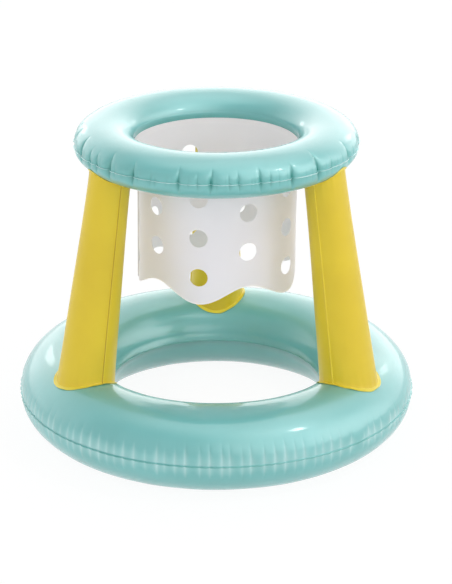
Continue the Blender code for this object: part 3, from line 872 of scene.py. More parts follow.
        # What would lie under the floor is flattened on it.
        for vertex in piece.data.vertices:
            vertex.co.z = max(vertex.co.z, 0.0)
        bpy.data.objects.remove(puckers)
        bpy.data.objects.remove(recess)
        dress(piece, ROOT_BODY, Slot.AQUA, *self.nodes)
        return piece


def even_puckers(count: int, skip: tuple[float, float], scale: float, seed: int, calm: float) -> list[Pucker]:
    """Puckers by rule for the part of a seam that isn't placed one by one.

    Args:
        count: How many would go round the whole ring.
        skip: First and last azimuth of the part that is left out, in degrees.
        scale: Depth of an average pucker in mm.
        seed: Fixes the unevenness.
        calm: Azimuth of the air valve in degrees, where the skin is smooth.

    Returns:
        The puckers.
    """
    chance = random.Random(seed)
    puckers = []
    for index in range(count):
        azimuth = -180 + 360 * (index + chance.uniform(-0.3, 0.3)) / count
        depth = scale * chance.uniform(0.45, 1.45)
        width = chance.uniform(2.2, 3.8)
        above = chance.uniform(24, 38)
        below = chance.uniform(18, 28)
        lean = chance.uniform(-0.12, 0.12)
        from_valve = abs(math.remainder(azimuth - calm, 360))
        if skip[0] < azimuth < skip[1] or from_valve < 6:
            continue
        puckers.append(Pucker(azimuth, depth, width, above, below, lean))
    return puckers


def hoop_puckers() -> list[Pucker]:
    """The hoop's sparse deep puckers, with the finer ones between them."""
    front = [
        Pucker(-69.0, 7.8, 2.8, 38, 16, 0.25),
        Pucker(-60.2, 4.7, 2.2, 28, 22, 0.05),
        Pucker(-54.9, 4.9, 2.2, 26, 20, 0.0),
        Pucker(-47.1, 9.4, 2.8, 34, 26, -0.10),
        Pucker(-34.6, 8.6, 2.6, 31, 24, -0.08),
        Pucker(-26.2, 3.1, 2.0, 20, 15, 0.0),
        Pucker(-24.2, 2.6, 1.8, 18, 14, 0.0),
        Pucker(-14.9, 7.5, 2.4, 30, 24, -0.05),
        Pucker(-7.3, 3.1, 1.8, 20, 14, 0.0),
        Pucker(-2.1, 8.3, 2.6, 28, 22, -0.10),
        Pucker(4.8, 2.9, 1.8, 20, 14, 0.05),
        Pucker(8.6, 4.9, 2.2, 24, 18, 0.08),
        Pucker(17.3, 7.3, 2.4, 30, 24, 0.10),
        Pucker(21.2, 3.9, 2.0, 20, 15, 0.0),
        Pucker(24.6, 2.3, 1.8, 20, 14, 0.0),
        Pucker(30.9, 8.6, 2.6, 32, 25, 0.05),
        Pucker(44.2, 10.1, 2.8, 42, 26, 0.10),
        Pucker(51.5, 3.9, 2.2, 24, 14, 0.0),
        Pucker(65.9, 6.2, 2.6, 36, 16, 0.10),
    ]
    back = even_puckers(22, (-76, 76), 6.2, seed=5, calm=-120)
    chance = random.Random(11)
    fine = []
    for index in range(90):
        azimuth = -180 + 4 * (index + chance.uniform(-0.35, 0.35))
        depth = chance.uniform(0.4, 1.9)
        fine.append(Pucker(azimuth, depth, chance.uniform(1.4, 2.4), chance.uniform(12, 22), chance.uniform(9, 16)))
    return [*front, *back, *fine]


def base_puckers() -> list[Pucker]:
    """The base ring's many shallow puckers, all by rule, stronger on the right of the front."""
    chance = random.Random(3)
    first, pitch, count = -77.0, 3.0, 39
    front = []
    for index in range(count):
        azimuth = first + pitch * (index + chance.uniform(-0.2, 0.2))
        strength = chance.uniform(0.3, 1.0) * (0.6 + 0.4 * index / count)
        depth = 1.0 + 2.0 * strength
        above = 36 + 14 * strength
        front.append(Pucker(azimuth, depth, chance.uniform(2.2, 3.0), above, chance.uniform(28, 36)))
    back = even_puckers(104, (-78, 38), 2.0, seed=8, calm=-150)
    return [*front, *back]


# Legs


@dataclass
class Leg:
    """A leaning tapered tube, rolled from one sheet and welded to both rings."""

    name: str
    azimuth: float
    seam_angle: float
    base: InflatedRing
    hoop: InflatedRing
    seed: int
    foot_radius: float = 50.3 * MM
    head_radius: float = 33.2 * MM
    head_outset: float = 8 * MM
    foot_outset: float = 0.0
    # The flanges are painted lighter, as a painted highlight.
    flange_painted_highlight: float = 0.9
    taper: float = 1.35
    foot_flange: float = 5 * MM
    head_flange: float = 3 * MM
    fin: float = 1.6 * MM
    clearance: float = 0.3 * MM
    sheet: float = 0.4 * MM
    sides: int = 180
    rows: int = 60
    frame: Matrix = field(init=False)
    length: float = field(init=False)
    # Across the lengthwise weld the colour gets painted shade on one side of the standing edge and a painted highlight
    # on the other.
    WELD_PAINTED_LIGHT = (0.0, 0.0, 0.0, -0.4, -0.8, -0.3, 0.3, 0.5, 0.6, 0.6, 0.5, 0.3, 0.0)

    def __post_init__(self) -> None:
        """Works out the leg's frame: +Z up its axis and +X away from the toy's middle."""
        azimuth = math.radians(self.azimuth)
        around = Vector((math.cos(azimuth), math.sin(azimuth), 0))
        foot = around * (self.base.centre_radius + self.foot_outset) + Vector((0, 0, self.base.centre_height))
        head = around * (self.hoop.centre_radius + self.head_outset) + Vector((0, 0, self.hoop.centre_height))
        up = (head - foot).normalized()
        side = up.cross(around).normalized()
        self.frame = Matrix((side.cross(up), side, up)).transposed().to_4x4()
        self.frame.translation = foot
        self.length = (head - foot).length

    def radius(self, share: np.ndarray) -> np.ndarray:
        """The tube's radius at a share of its length."""
        return self.head_radius + (self.foot_radius - self.head_radius) * np.clip(1 - share, 0, 1) ** self.taper

    def angles(self) -> np.ndarray:
        """Angles about the axis, with extra ones that draw the lengthwise weld."""
        seam = math.radians(self.seam_angle)
        weld = np.array([-4.0, -2.2, -1.2, -0.75, -0.45, -0.35, 0.0, 0.35, 0.45, 0.75, 1.2, 2.2, 4.0]) * MM
        weld = weld / self.foot_radius
        plain = np.linspace(weld[-1], FULL_TURN + weld[0], self.sides)[1:-1]
        return seam + np.concatenate([weld, plain])

    def weld_height(self) -> np.ndarray:
        """Height of the lengthwise weld at each angle: a standing edge between two pressed bands."""
        weld = np.array([0.0, -0.10, -0.22, -0.1, 0.5, 1.5, 1.6, 1.5, 0.5, -0.1, -0.22, -0.10, 0.0]) * MM
        return np.concatenate([weld * self.fin / (1.6 * MM), np.zeros(self.sides - 2)])

    def place(self, share: np.ndarray, angle: np.ndarray, grow_by: np.ndarray) -> np.ndarray:
        """Points on the tube at shares of its length and angles, grown by a distance."""
        radius = self.radius(share) + grow_by
        local = np.stack([radius * np.cos(angle), radius * np.sin(angle), share * self.length], axis=-1)
        matrix = np.array(self.frame)
        return local @ matrix[:3, :3].T + matrix[:3, 3]

    def meeting(self, ring: InflatedRing, inner: float, angle: np.ndarray, grow_by: float, offset: np.ndarray) -> np.ndarray:
        """The share at which each line of the tube comes out of a ring.

        Args:
            ring: The ring that the tube is welded to.
            inner: The share that is inside the ring, zero at the foot and one at the head.
            angle: The lines' angles about the axis.
            grow_by: How much wider than the tube the lines run.
            offset: How far off the ring's skin the place is, for each line.

        Returns:
            A share for each line.
        """
        inside = np.full_like(angle, inner)
        clear = np.full_like(angle, 0.5)
        for _ in range(40):
            middle = (inside + clear) / 2
            out = ring.outside(self.place(middle, angle, np.full_like(angle, grow_by)), offset) > 0
            clear = np.where(out, middle, clear)
            inside = np.where(out, inside, middle)
        return clear

    def ruffle(self, angle: np.ndarray, strength: float, chance: random.Random) -> np.ndarray:
        """How far a flange's edge lifts off the ring at each angle."""
        wave = np.zeros_like(angle)
        for waves, weight in ((3, 0.30), (5, 0.25), (8, 0.25), (13, 0.20)):
            wave += weight * np.cos(waves * angle + chance.uniform(0, FULL_TURN))
        return strength * np.clip(0.35 + wave, 0.0, None)

    def flange(self, ring: InflatedRing, inner: float, width: float, lift: float, chance: random.Random) -> list[np.ndarray]:
        """Rows of points from a flange's edge to where the tube's wall begins."""
        angle = self.angles()
        ruffle = self.ruffle(angle, lift, chance)
        fin = np.clip(self.weld_height(), 0, None)
        rows = []
        for share in (1.0, 0.97, 0.85, 0.68, 0.5, 0.32, 0.16, 0.05):
            offset = self.clearance + self.sheet + ruffle * share**1.6 + fin * 0.5 * (1 - share) + 0.4 * MM * (1 - share) ** 2
            meet = self.meeting(ring, inner, angle, width * share, offset)
            rows.append(self.place(meet, angle, np.full_like(angle, width * share)))
        return rows

    def wall(self, chance: random.Random) -> list[np.ndarray]:
        """Rows of points up the tube's wall, which gathers a little towards both welds."""
        angle = self.angles()
        weld = self.weld_height()
        foot = self.meeting(self.base, 0.0, angle, 0.0, np.full_like(angle, 1.5 * MM))
        head = self.meeting(self.hoop, 1.0, angle, 0.0, np.full_like(angle, 1.2 * MM))
        phases = [chance.uniform(0, FULL_TURN) for _ in range(4)]
        gather = 0.5 * np.cos(14 * angle + phases[0]) + 0.5 * np.cos(23 * angle + phases[1])
        rows = []
        for row in range(self.rows + 1):
            share = row / self.rows
            # Rows stand closer together near the welds, where the wall curves most.
            share = 0.5 - 0.5 * math.cos(math.pi * share) if row else 0.0
            along = foot + (head - foot) * share
            from_end = np.minimum(along - foot, head - along) * self.length
            depth = 0.35 * MM * np.exp(-from_end / (14 * MM)) * gather
            soft = 0.35 * MM * np.cos(2 * angle + phases[2] + 5 * share) * math.sin(math.pi * share)
            flare = 0.45 * MM * np.exp(-from_end / (1.6 * MM))
            rows.append(self.place(along, angle, weld + depth + soft + flare))
        return rows

    def build(self, vinyl: bpy.types.Material) -> Object:
        """Builds the leg as a sheet with its two flanges and its lengthwise weld."""
        chance = random.Random(self.seed)
        foot = self.flange(self.base, 0.0, self.foot_flange, 1.5 * MM, chance)
        head = self.flange(self.hoop, 1.0, self.head_flange, 0.5 * MM, chance)
        rows = [*foot, *self.wall(chance), *head[::-1]]
        columns = len(rows[0])
        faces = []
        for row in range(len(rows) - 1):
            for column in range(columns):
                beside = (column + 1) % columns
                low, high = row * columns, (row + 1) * columns
                faces.append((low + column, low + beside, high + beside, high + column))
        host = mesh_object(f"{self.name}_sheet", np.concatenate(rows), faces, vinyl)
        welds = np.zeros((len(rows), columns))
        welds[: len(foot)] = 1.0
        welds[-len(head) :] = 1.0
        host.data.attributes.new("weld", "FLOAT", "POINT").data.foreach_set("value", welds.ravel())
        # The weld's row of painted shade and highlight, and on the flanges a painted highlight.
        weld = np.concatenate([self.WELD_PAINTED_LIGHT, np.zeros(self.sides - 2)])
        painted_light_values = np.where(welds > 0, self.flange_painted_highlight, weld[None, :])
        host.data.attributes.new("tone", "FLOAT", "POINT").data.foreach_set("value", painted_light_values.ravel())
        host.data.shade_smooth()
        wall = host.modifiers.new("sheet", "SOLIDIFY")
        wall.thickness = self.sheet
        wall.offset = -1
        piece = plain_mesh(host, f"{self.name}_tube")
        dress(piece, ROOT_BODY, Slot.YELLOW, self.name)
        return piece


# Sleeve


def sleeve_tree() -> Nodes:
    """The tree that rolls a flat sheet into the sleeve, scallops its hem and punches it."""
    tree, given = new_tree(
        "perforated_sleeve",
        {
            "Places": "NodeSocketGeometry",
            "Columns": "NodeSocketInt",
            "Rows": "NodeSocketInt",
            "Top Radius": "NodeSocketFloat",
            "Top Height": "NodeSocketFloat",
            "Length": "NodeSocketFloat",
            "Waist Inset": "NodeSocketFloat",
            "Neck": "NodeSocketFloat",
            "Lean": "NodeSocketFloat",
            "Lobes": "NodeSocketFloat",
            "First Lobe": "NodeSocketFloat",
            "Lobe Depth": "NodeSocketFloat",
            "Fold": "NodeSocketFloat",
            "Slackness": "NodeSocketFloat",
            "Weld Width": "NodeSocketFloat",
            "Inner Pallor": "NodeSocketFloat",
            "Back Turn": "NodeSocketFloat",
            "Back Drop": "NodeSocketFloat",
            "Thickness": "NodeSocketFloat",
            "Hole Radius": "NodeSocketFloat",
            "Hole Sides": "NodeSocketInt",
            "Seam": "NodeSocketObject",
            "Vinyl": "NodeSocketMaterial",
        },
    )
    flat = add_node(
        tree,
        "GeometryNodeMeshGrid",
        {
            "Size X": 1.0,
            "Size Y": 1.0,
            "Vertices X": given.outputs["Columns"],
            "Vertices Y": given.outputs["Rows"],
        },
    )
    place = add_node(tree, "GeometryNodeInputPosition").outputs[0]
    parts = add_node(tree, "ShaderNodeSeparateXYZ", {0: place})
    azimuth = add_node(
        tree,
        "ShaderNodeMapRange",
        {"Value": parts.outputs["X"], "From Min": -0.5, "From Max": 0.5, "To Min": 0.0, "To Max": FULL_TURN},
    ).outputs["Result"]
    share = add_node(
        tree,
        "ShaderNodeMapRange",
        {"Value": parts.outputs["Y"], "From Min": 0.5, "From Max": -0.5, "To Min": 0.0, "To Max": 1.0},
    ).outputs["Result"]
    cosine = add_node(tree, "ShaderNodeMath", {0: azimuth}, operation="COSINE")
    sine = add_node(tree, "ShaderNodeMath", {0: azimuth}, operation="SINE")
    backness = add_node(
        tree, "ShaderNodeMapRange", {"Value": sine.outputs[0], "From Min": -1.0, "From Max": 1.0}
    ).outputs["Result"]
    skewed = add_node(
        tree, "ShaderNodeMath", {0: backness, 1: given.outputs["Back Turn"], 2: azimuth}, operation="MULTIPLY_ADD"
    )
    turned = add_node(
        tree, "ShaderNodeMath", {0: skewed.outputs[0], 1: given.outputs["First Lobe"]}, operation="SUBTRACT"
    )
    phase = add_node(
        tree, "ShaderNodeMath", {0: turned.outputs[0], 1: given.outputs["Lobes"]}, operation="MULTIPLY"
    )
    wave = add_node(tree, "ShaderNodeMath", {0: phase.outputs[0]}, operation="COSINE").outputs[0]
    length = add_node(
        tree,
        "ShaderNodeMath",
        {0: wave, 1: given.outputs["Lobe Depth"], 2: given.outputs["Length"]},
        operation="MULTIPLY_ADD",
    )
    length = add_node(
        tree,
        "ShaderNodeMath",
        {0: backness, 1: given.outputs["Back Drop"], 2: length.outputs[0]},
        operation="MULTIPLY_ADD",
    )
    drop = add_node(tree, "ShaderNodeMath", {0: share, 1: length.outputs[0]}, operation="MULTIPLY").outputs[0]
    below_neck = add_node(
        tree,
        "ShaderNodeMapRange",
        {"Value": drop, "From Min": 0.0, "From Max": given.outputs["Neck"]},
        interpolation_type="SMOOTHSTEP",
    ).outputs["Result"]
    waist = add_node(
        tree, "ShaderNodeMath", {0: below_neck, 1: given.outputs["Waist Inset"]}, operation="MULTIPLY"
    )
    sideways = add_node(tree, "ShaderNodeMath", {0: cosine.outputs[0], 1: 2.0}, operation="POWER")
    leaning = add_node(
        tree, "ShaderNodeMath", {0: sideways.outputs[0], 1: given.outputs["Lean"]}, operation="MULTIPLY"
    )
    lean = add_node(tree, "ShaderNodeMath", {0: leaning.outputs[0], 1: below_neck}, operation="MULTIPLY")
    folding = add_node(tree, "ShaderNodeMath", {0: wave, 1: given.outputs["Fold"]}, operation="MULTIPLY")
    fold = add_node(tree, "ShaderNodeMath", {0: folding.outputs[0], 1: share}, operation="MULTIPLY")
    narrowed = add_node(
        tree, "ShaderNodeMath", {0: given.outputs["Top Radius"], 1: waist.outputs[0]}, operation="SUBTRACT"
    )
    folded = add_node(tree, "ShaderNodeMath", {0: narrowed.outputs[0], 1: fold.outputs[0]}, operation="ADD")
    x = add_node(
        tree,
        "ShaderNodeMath",
        {0: cosine.outputs[0], 1: folded.outputs[0], 2: lean.outputs[0]},
        operation="MULTIPLY_ADD",
    )
    y = add_node(tree, "ShaderNodeMath", {0: sine.outputs[0], 1: folded.outputs[0]}, operation="MULTIPLY")
    z = add_node(tree, "ShaderNodeMath", {0: given.outputs["Top Height"], 1: drop}, operation="SUBTRACT")
    rolled = add_node(
        tree, "ShaderNodeCombineXYZ", {"X": x.outputs[0], "Y": y.outputs[0], "Z": z.outputs[0]}
    )
    lapped = add_node(
        tree,
        "ShaderNodeMapRange",
        {"Value": drop, "From Min": given.outputs["Weld Width"], "From Max": 0.0, "To Min": 0.0, "To Max": 6.0},
    )
    marked = add_node(
        tree,
        "GeometryNodeStoreNamedAttribute",
        {"Geometry": flat.outputs["Mesh"], "Name": "weld", "Value": lapped.outputs["Result"]},
        data_type="FLOAT",
        domain="POINT",
    )
    tube = add_node(
        tree, "GeometryNodeSetPosition", {"Geometry": marked.outputs["Geometry"], "Position": rolled.outputs[0]}
    )
    joined = add_node(
        tree, "GeometryNodeMergeByDistance", {"Geometry": tube.outputs["Geometry"], "Distance": 0.01 * MM}
    )
    slack = add_node(tree, "ShaderNodeTexNoise", {"Vector": place, "Scale": 1 / (75 * MM), "Detail": 1.0})
    slacker = add_node(tree, "ShaderNodeMath", {0: slack.outputs["Fac"], 1: 0.5}, operation="SUBTRACT")
    slackened = add_node(
        tree, "ShaderNodeMath", {0: slacker.outputs[0], 1: given.outputs["Slackness"]}, operation="MULTIPLY"
    )
    normal = add_node(tree, "GeometryNodeInputNormal").outputs[0]
    loosened = add_node(
        tree, "ShaderNodeVectorMath", {0: normal, "Scale": slackened.outputs[0]}, operation="SCALE"
    )
    hung = add_node(
        tree, "GeometryNodeSetPosition", {"Geometry": joined.outputs["Geometry"], "Offset": loosened.outputs[0]}
    )
    walled = add_node(
        tree,
        "GeometryNodeExtrudeMesh",
        {"Mesh": hung.outputs["Geometry"], "Offset Scale": given.outputs["Thickness"], "Individual": False},
        mode="FACES",
    )
    turned_round = add_node(tree, "GeometryNodeFlipFaces", {"Mesh": hung.outputs["Geometry"]})
    both = add_node(tree, "GeometryNodeJoinGeometry")
    tree.links.new(walled.outputs["Mesh"], both.inputs[0])
    tree.links.new(turned_round.outputs[0], both.inputs[0])
    shell = add_node(
        tree, "GeometryNodeMergeByDistance", {"Geometry": both.outputs[0], "Distance": 0.01 * MM}
    )
    punch = add_node(
        tree,
        "GeometryNodeMeshCylinder",
        {"Vertices": given.outputs["Hole Sides"], "Radius": given.outputs["Hole Radius"], "Depth": 30 * MM},
    )
    facing = add_node(tree, "GeometryNodeInputNamedAttribute", {"Name": "facing"}, data_type="FLOAT_VECTOR")
    aimed = add_node(
        tree, "FunctionNodeAlignRotationToVector", {"Vector": facing.outputs["Attribute"]}, axis="Z"
    )
    punches = add_node(
        tree,
        "GeometryNodeInstanceOnPoints",
        {"Points": given.outputs["Places"], "Instance": punch.outputs["Mesh"], "Rotation": aimed.outputs[0]},
    )
    punched = add_node(
        tree,
        "GeometryNodeMeshBoolean",
        {"Mesh 1": shell.outputs["Geometry"], "Mesh 2": punches.outputs["Instances"]},
        operation="DIFFERENCE",
        solver="EXACT",
    )
    # Inner faces get painted light: their paleness stands in for light that comes through the film, and it is stored
    # with the weld's share.
    outward = add_node(tree, "ShaderNodeVectorMath", {0: place, 1: normal}, operation="DOT_PRODUCT")
    inner = add_node(tree, "ShaderNodeMath", {0: outward.outputs["Value"], 1: 0.0}, operation="LESS_THAN")
    weld = add_node(tree, "GeometryNodeInputNamedAttribute", {"Name": "weld"}, data_type="FLOAT")
    pale_and_painted_light = add_node(
        tree,
        "ShaderNodeMath",
        {0: inner.outputs[0], 1: given.outputs["Inner Pallor"], 2: weld.outputs["Attribute"]},
        operation="MULTIPLY_ADD",
    )
    paled = add_node(
        tree,
        "GeometryNodeStoreNamedAttribute",
        {"Geometry": punched.outputs["Mesh"], "Name": "weld", "Value": pale_and_painted_light.outputs[0]},
        data_type="FLOAT",
        domain="POINT",
    )
    seam = add_node(tree, "GeometryNodeObjectInfo", {"Object": given.outputs["Seam"]})
    whole = add_node(tree, "GeometryNodeJoinGeometry")
    tree.links.new(paled.outputs["Geometry"], whole.inputs[0])
    tree.links.new(seam.outputs["Geometry"], whole.inputs[0])
    end_tree(tree, whole.outputs[0], given.outputs["Vinyl"])
    return tree


@dataclass
class Sleeve:
    """The perforated tube of thin vinyl that hangs in the hoop."""

    hoop: InflatedRing
    name: str = "net_sleeve"
    top_drop: float = 3 * MM
    length: float = 221 * MM
    waist_inset: float = 4.5 * MM
    neck: float = 60 * MM
    lean: float = 3.3 * MM
    lobes: int = 5
    first_lobe: float = math.radians(257.5)
    lobe_depth: float = 13.3 * MM
    fold: float = 2.5 * MM
    slackness: float = 1.6 * MM
    weld_width: float = 9 * MM
    inner_painted_light: float = 0.9
    back_turn: float = math.radians(3.2)
    back_drop: float = 4 * MM
    thickness: float = 0.4 * MM
    hole_radius: float = 15 * MM
    hole_pitch: float = 66.5 * MM
    lowest_hole: float = 46 * MM
    hole_stagger: float = 40.5 * MM
    long_column: int = 3
    short_column: int = 2
    seam_azimuth: float = math.radians(181.5)
    seam_height: float = 2.2 * MM
    seam_thickness: float = 0.8 * MM
    columns: int = 280
    rows: int = 72

    @property
    def top_radius(self) -> float:
        """Radius of the sleeve at its weld."""
        return self.hoop.hole_radius - self.sheet_gap

    @property
    def sheet_gap(self) -> float:
        """Room between the sleeve and the hoop's skirt."""
        return 0.3 * MM + self.thickness

    @property
    def top(self) -> float:
        """Height of the sleeve's upper edge."""
        return self.hoop.centre_height - self.top_drop

    def hole_places(self) -> Object:
        """Points at the holes' centres, each with the direction that it faces."""
        lowest = self.top - self.length - self.lobe_depth + self.lowest_hole
        middle_radius = self.top_radius - self.waist_inset / 2
        places, facing = [], []
        for column in range(2 * self.lobes):
            azimuth = self.first_lobe + math.pi * column / self.lobes
            # The pattern is a little askew on the roll: round the back it is turned and lower.
            backness = (math.sin(azimuth) + 1) / 2
            azimuth -= self.back_turn * backness
            around = (math.cos(azimuth), math.sin(azimuth))
            short = column % 2
            for row in range(self.short_column if short else self.long_column):
                height = lowest + self.hole_stagger * short + self.hole_pitch * row - self.back_drop * backness
                places.append((middle_radius * around[0], middle_radius * around[1], height))
                facing += [*around, 0.0]
        obj = mesh_object("hole_places", places, [])
        obj.data.attributes.new("facing", "FLOAT_VECTOR", "POINT").data.foreach_set("vector", facing)
        return obj

    def seam_strip(self) -> Object:
        """The standing edge of the weld that closes the tube."""
        around = Vector((math.cos(self.seam_azimuth), math.sin(self.seam_azimuth), 0))
        along = Vector((-around.y, around.x, 0))
        wave = math.cos(self.lobes * (self.seam_azimuth - self.first_lobe))
        length = self.length + self.lobe_depth * wave
        half = self.seam_thickness / 2
        rows = 24
        rings = []
        for row in range(rows + 1):
            share = row / rows
            drop = share * length
            step = min(1.0, drop / self.neck)
            radius = self.top_radius - self.waist_inset * step * step * (3 - 2 * step) + self.fold * share * wave
            leaned = self.lean * around.x**2 * step * step * (3 - 2 * step)
            middle = around * radius + Vector((leaned, 0, self.top - drop))
            height = self.seam_height * min(1.0, 0.25 + share * 6)
            lean = along * 0.6 * MM * math.sin(9 * share)
            rings.append(
                [
                    middle - along * half - around * 0.3 * MM,
                    middle - along * half + around * height + lean,
                    middle + along * half + around * height + lean,
                    middle + along * half - around * 0.3 * MM,
                ]
            )
        points = [point for ring in rings for point in ring]
        faces = [(3, 2, 1, 0)]
        for row in range(rows):
            for side in range(4):
                beside = (side + 1) % 4
                faces.append((4 * row + side, 4 * row + beside, 4 * row + 4 + beside, 4 * row + 4 + side))
        last = 4 * rows
        faces.append((last, last + 1, last + 2, last + 3))
        strip = mesh_object("sleeve_seam", points, faces)
        shape = bmesh.new()
        shape.from_mesh(strip.data)
        bmesh.ops.recalc_face_normals(shape, faces=shape.faces)
        shape.to_mesh(strip.data)
        shape.free()
        return strip

    def build(self, vinyl: bpy.types.Material, ring: Object) -> Object:
        host = self.hole_places()
        seam = self.seam_strip()
        values = {
            "Columns": self.columns + 1,
            "Rows": self.rows + 1,
            "Top Radius": self.top_radius,
            "Top Height": self.top,
            "Length": self.length,
            "Waist Inset": self.waist_inset,
            "Neck": self.neck,
            "Lean": self.lean,
            "Lobes": float(self.lobes),
            "First Lobe": self.first_lobe,
            "Lobe Depth": self.lobe_depth,
            "Fold": self.fold,
            "Slackness": self.slackness,
            "Weld Width": self.weld_width,
            "Inner Pallor": self.inner_painted_light,
            "Back Turn": self.back_turn,
            "Back Drop": self.back_drop,
            "Thickness": self.thickness,
            "Hole Radius": self.hole_radius,
            "Hole Sides": 48,
            "Seam": seam,
            "Vinyl": vinyl,
        }
        piece = grow(sleeve_tree(), host, values, self.name)
        piece.data.set_sharp_from_angle(angle=math.radians(50))
        bpy.data.objects.remove(seam)
        dress(piece, ROOT_BODY, Slot.WHITE, "basket_sleeve")
        return piece


# Air valves


def lathe(name: str, profile: Sequence[Point], sides: int = 64, closed: bool = False) -> Object:
    """Turns a profile of (radius, height) points about Z into a closed body."""
    mesh = bpy.data.meshes.new(name)
    shape = bmesh.new()
    outline = [shape.verts.new((radius, 0, height)) for radius, height in profile]
    edges = [shape.edges.new(pair) for pair in zip(outline, outline[1:])]
    if closed:
        edges.append(shape.edges.new((outline[-1], outline[0])))
    bmesh.ops.spin(
        shape, geom=[*outline, *edges], cent=(0, 0, 0), axis=(0, 0, 1), angle=FULL_TURN, steps=sides
    )
    bmesh.ops.remove_doubles(shape, verts=shape.verts, dist=0.01 * MM)
    bmesh.ops.recalc_face_normals(shape, faces=shape.faces)
    shape.to_mesh(mesh)
    shape.free()
    obj = bpy.data.objects.new(name, mesh)
    bpy.context.scene.collection.objects.link(obj)
    return obj


def rounded_bar(name: str, low: Sequence[float], high: Sequence[float], rounding: float) -> Object:
    """A bar between two corners with rounded edges."""
    mesh = bpy.data.meshes.new(name)
    shape = bmesh.new()
    bmesh.ops.create_cube(shape, size=1)
    size = Vector(high) - Vector(low)
    bmesh.ops.scale(shape, vec=size, verts=shape.verts)
    bmesh.ops.translate(shape, vec=(Vector(high) + Vector(low)) / 2, verts=shape.verts)
    bmesh.ops.bevel(shape, geom=shape.edges[:], offset=rounding, segments=3, profile=0.5, affect="EDGES")
    shape.to_mesh(mesh)
    shape.free()
    obj = bpy.data.objects.new(name, mesh)
    bpy.context.scene.collection.objects.link(obj)
    return obj


def united(name: str, first: Object, *others: Object, place: Matrix, vinyl: bpy.types.Material) -> Object:
    """Joins closed bodies to one, puts it in place and finishes it."""
    for other in others:
        union = first.modifiers.new(other.name, "BOOLEAN")
        union.operation = "UNION"
        union.solver = "EXACT"
        union.object = other
    first.matrix_world = place
    for other in others:
        other.matrix_world = place
    piece = plain_mesh(first, name)
    for other in others:
        bpy.data.objects.remove(other)
    piece.data.materials.clear()
    piece.data.materials.append(vinyl)
    piece.data.shade_smooth()
    piece.data.set_sharp_from_angle(angle=math.radians(45))
    return piece


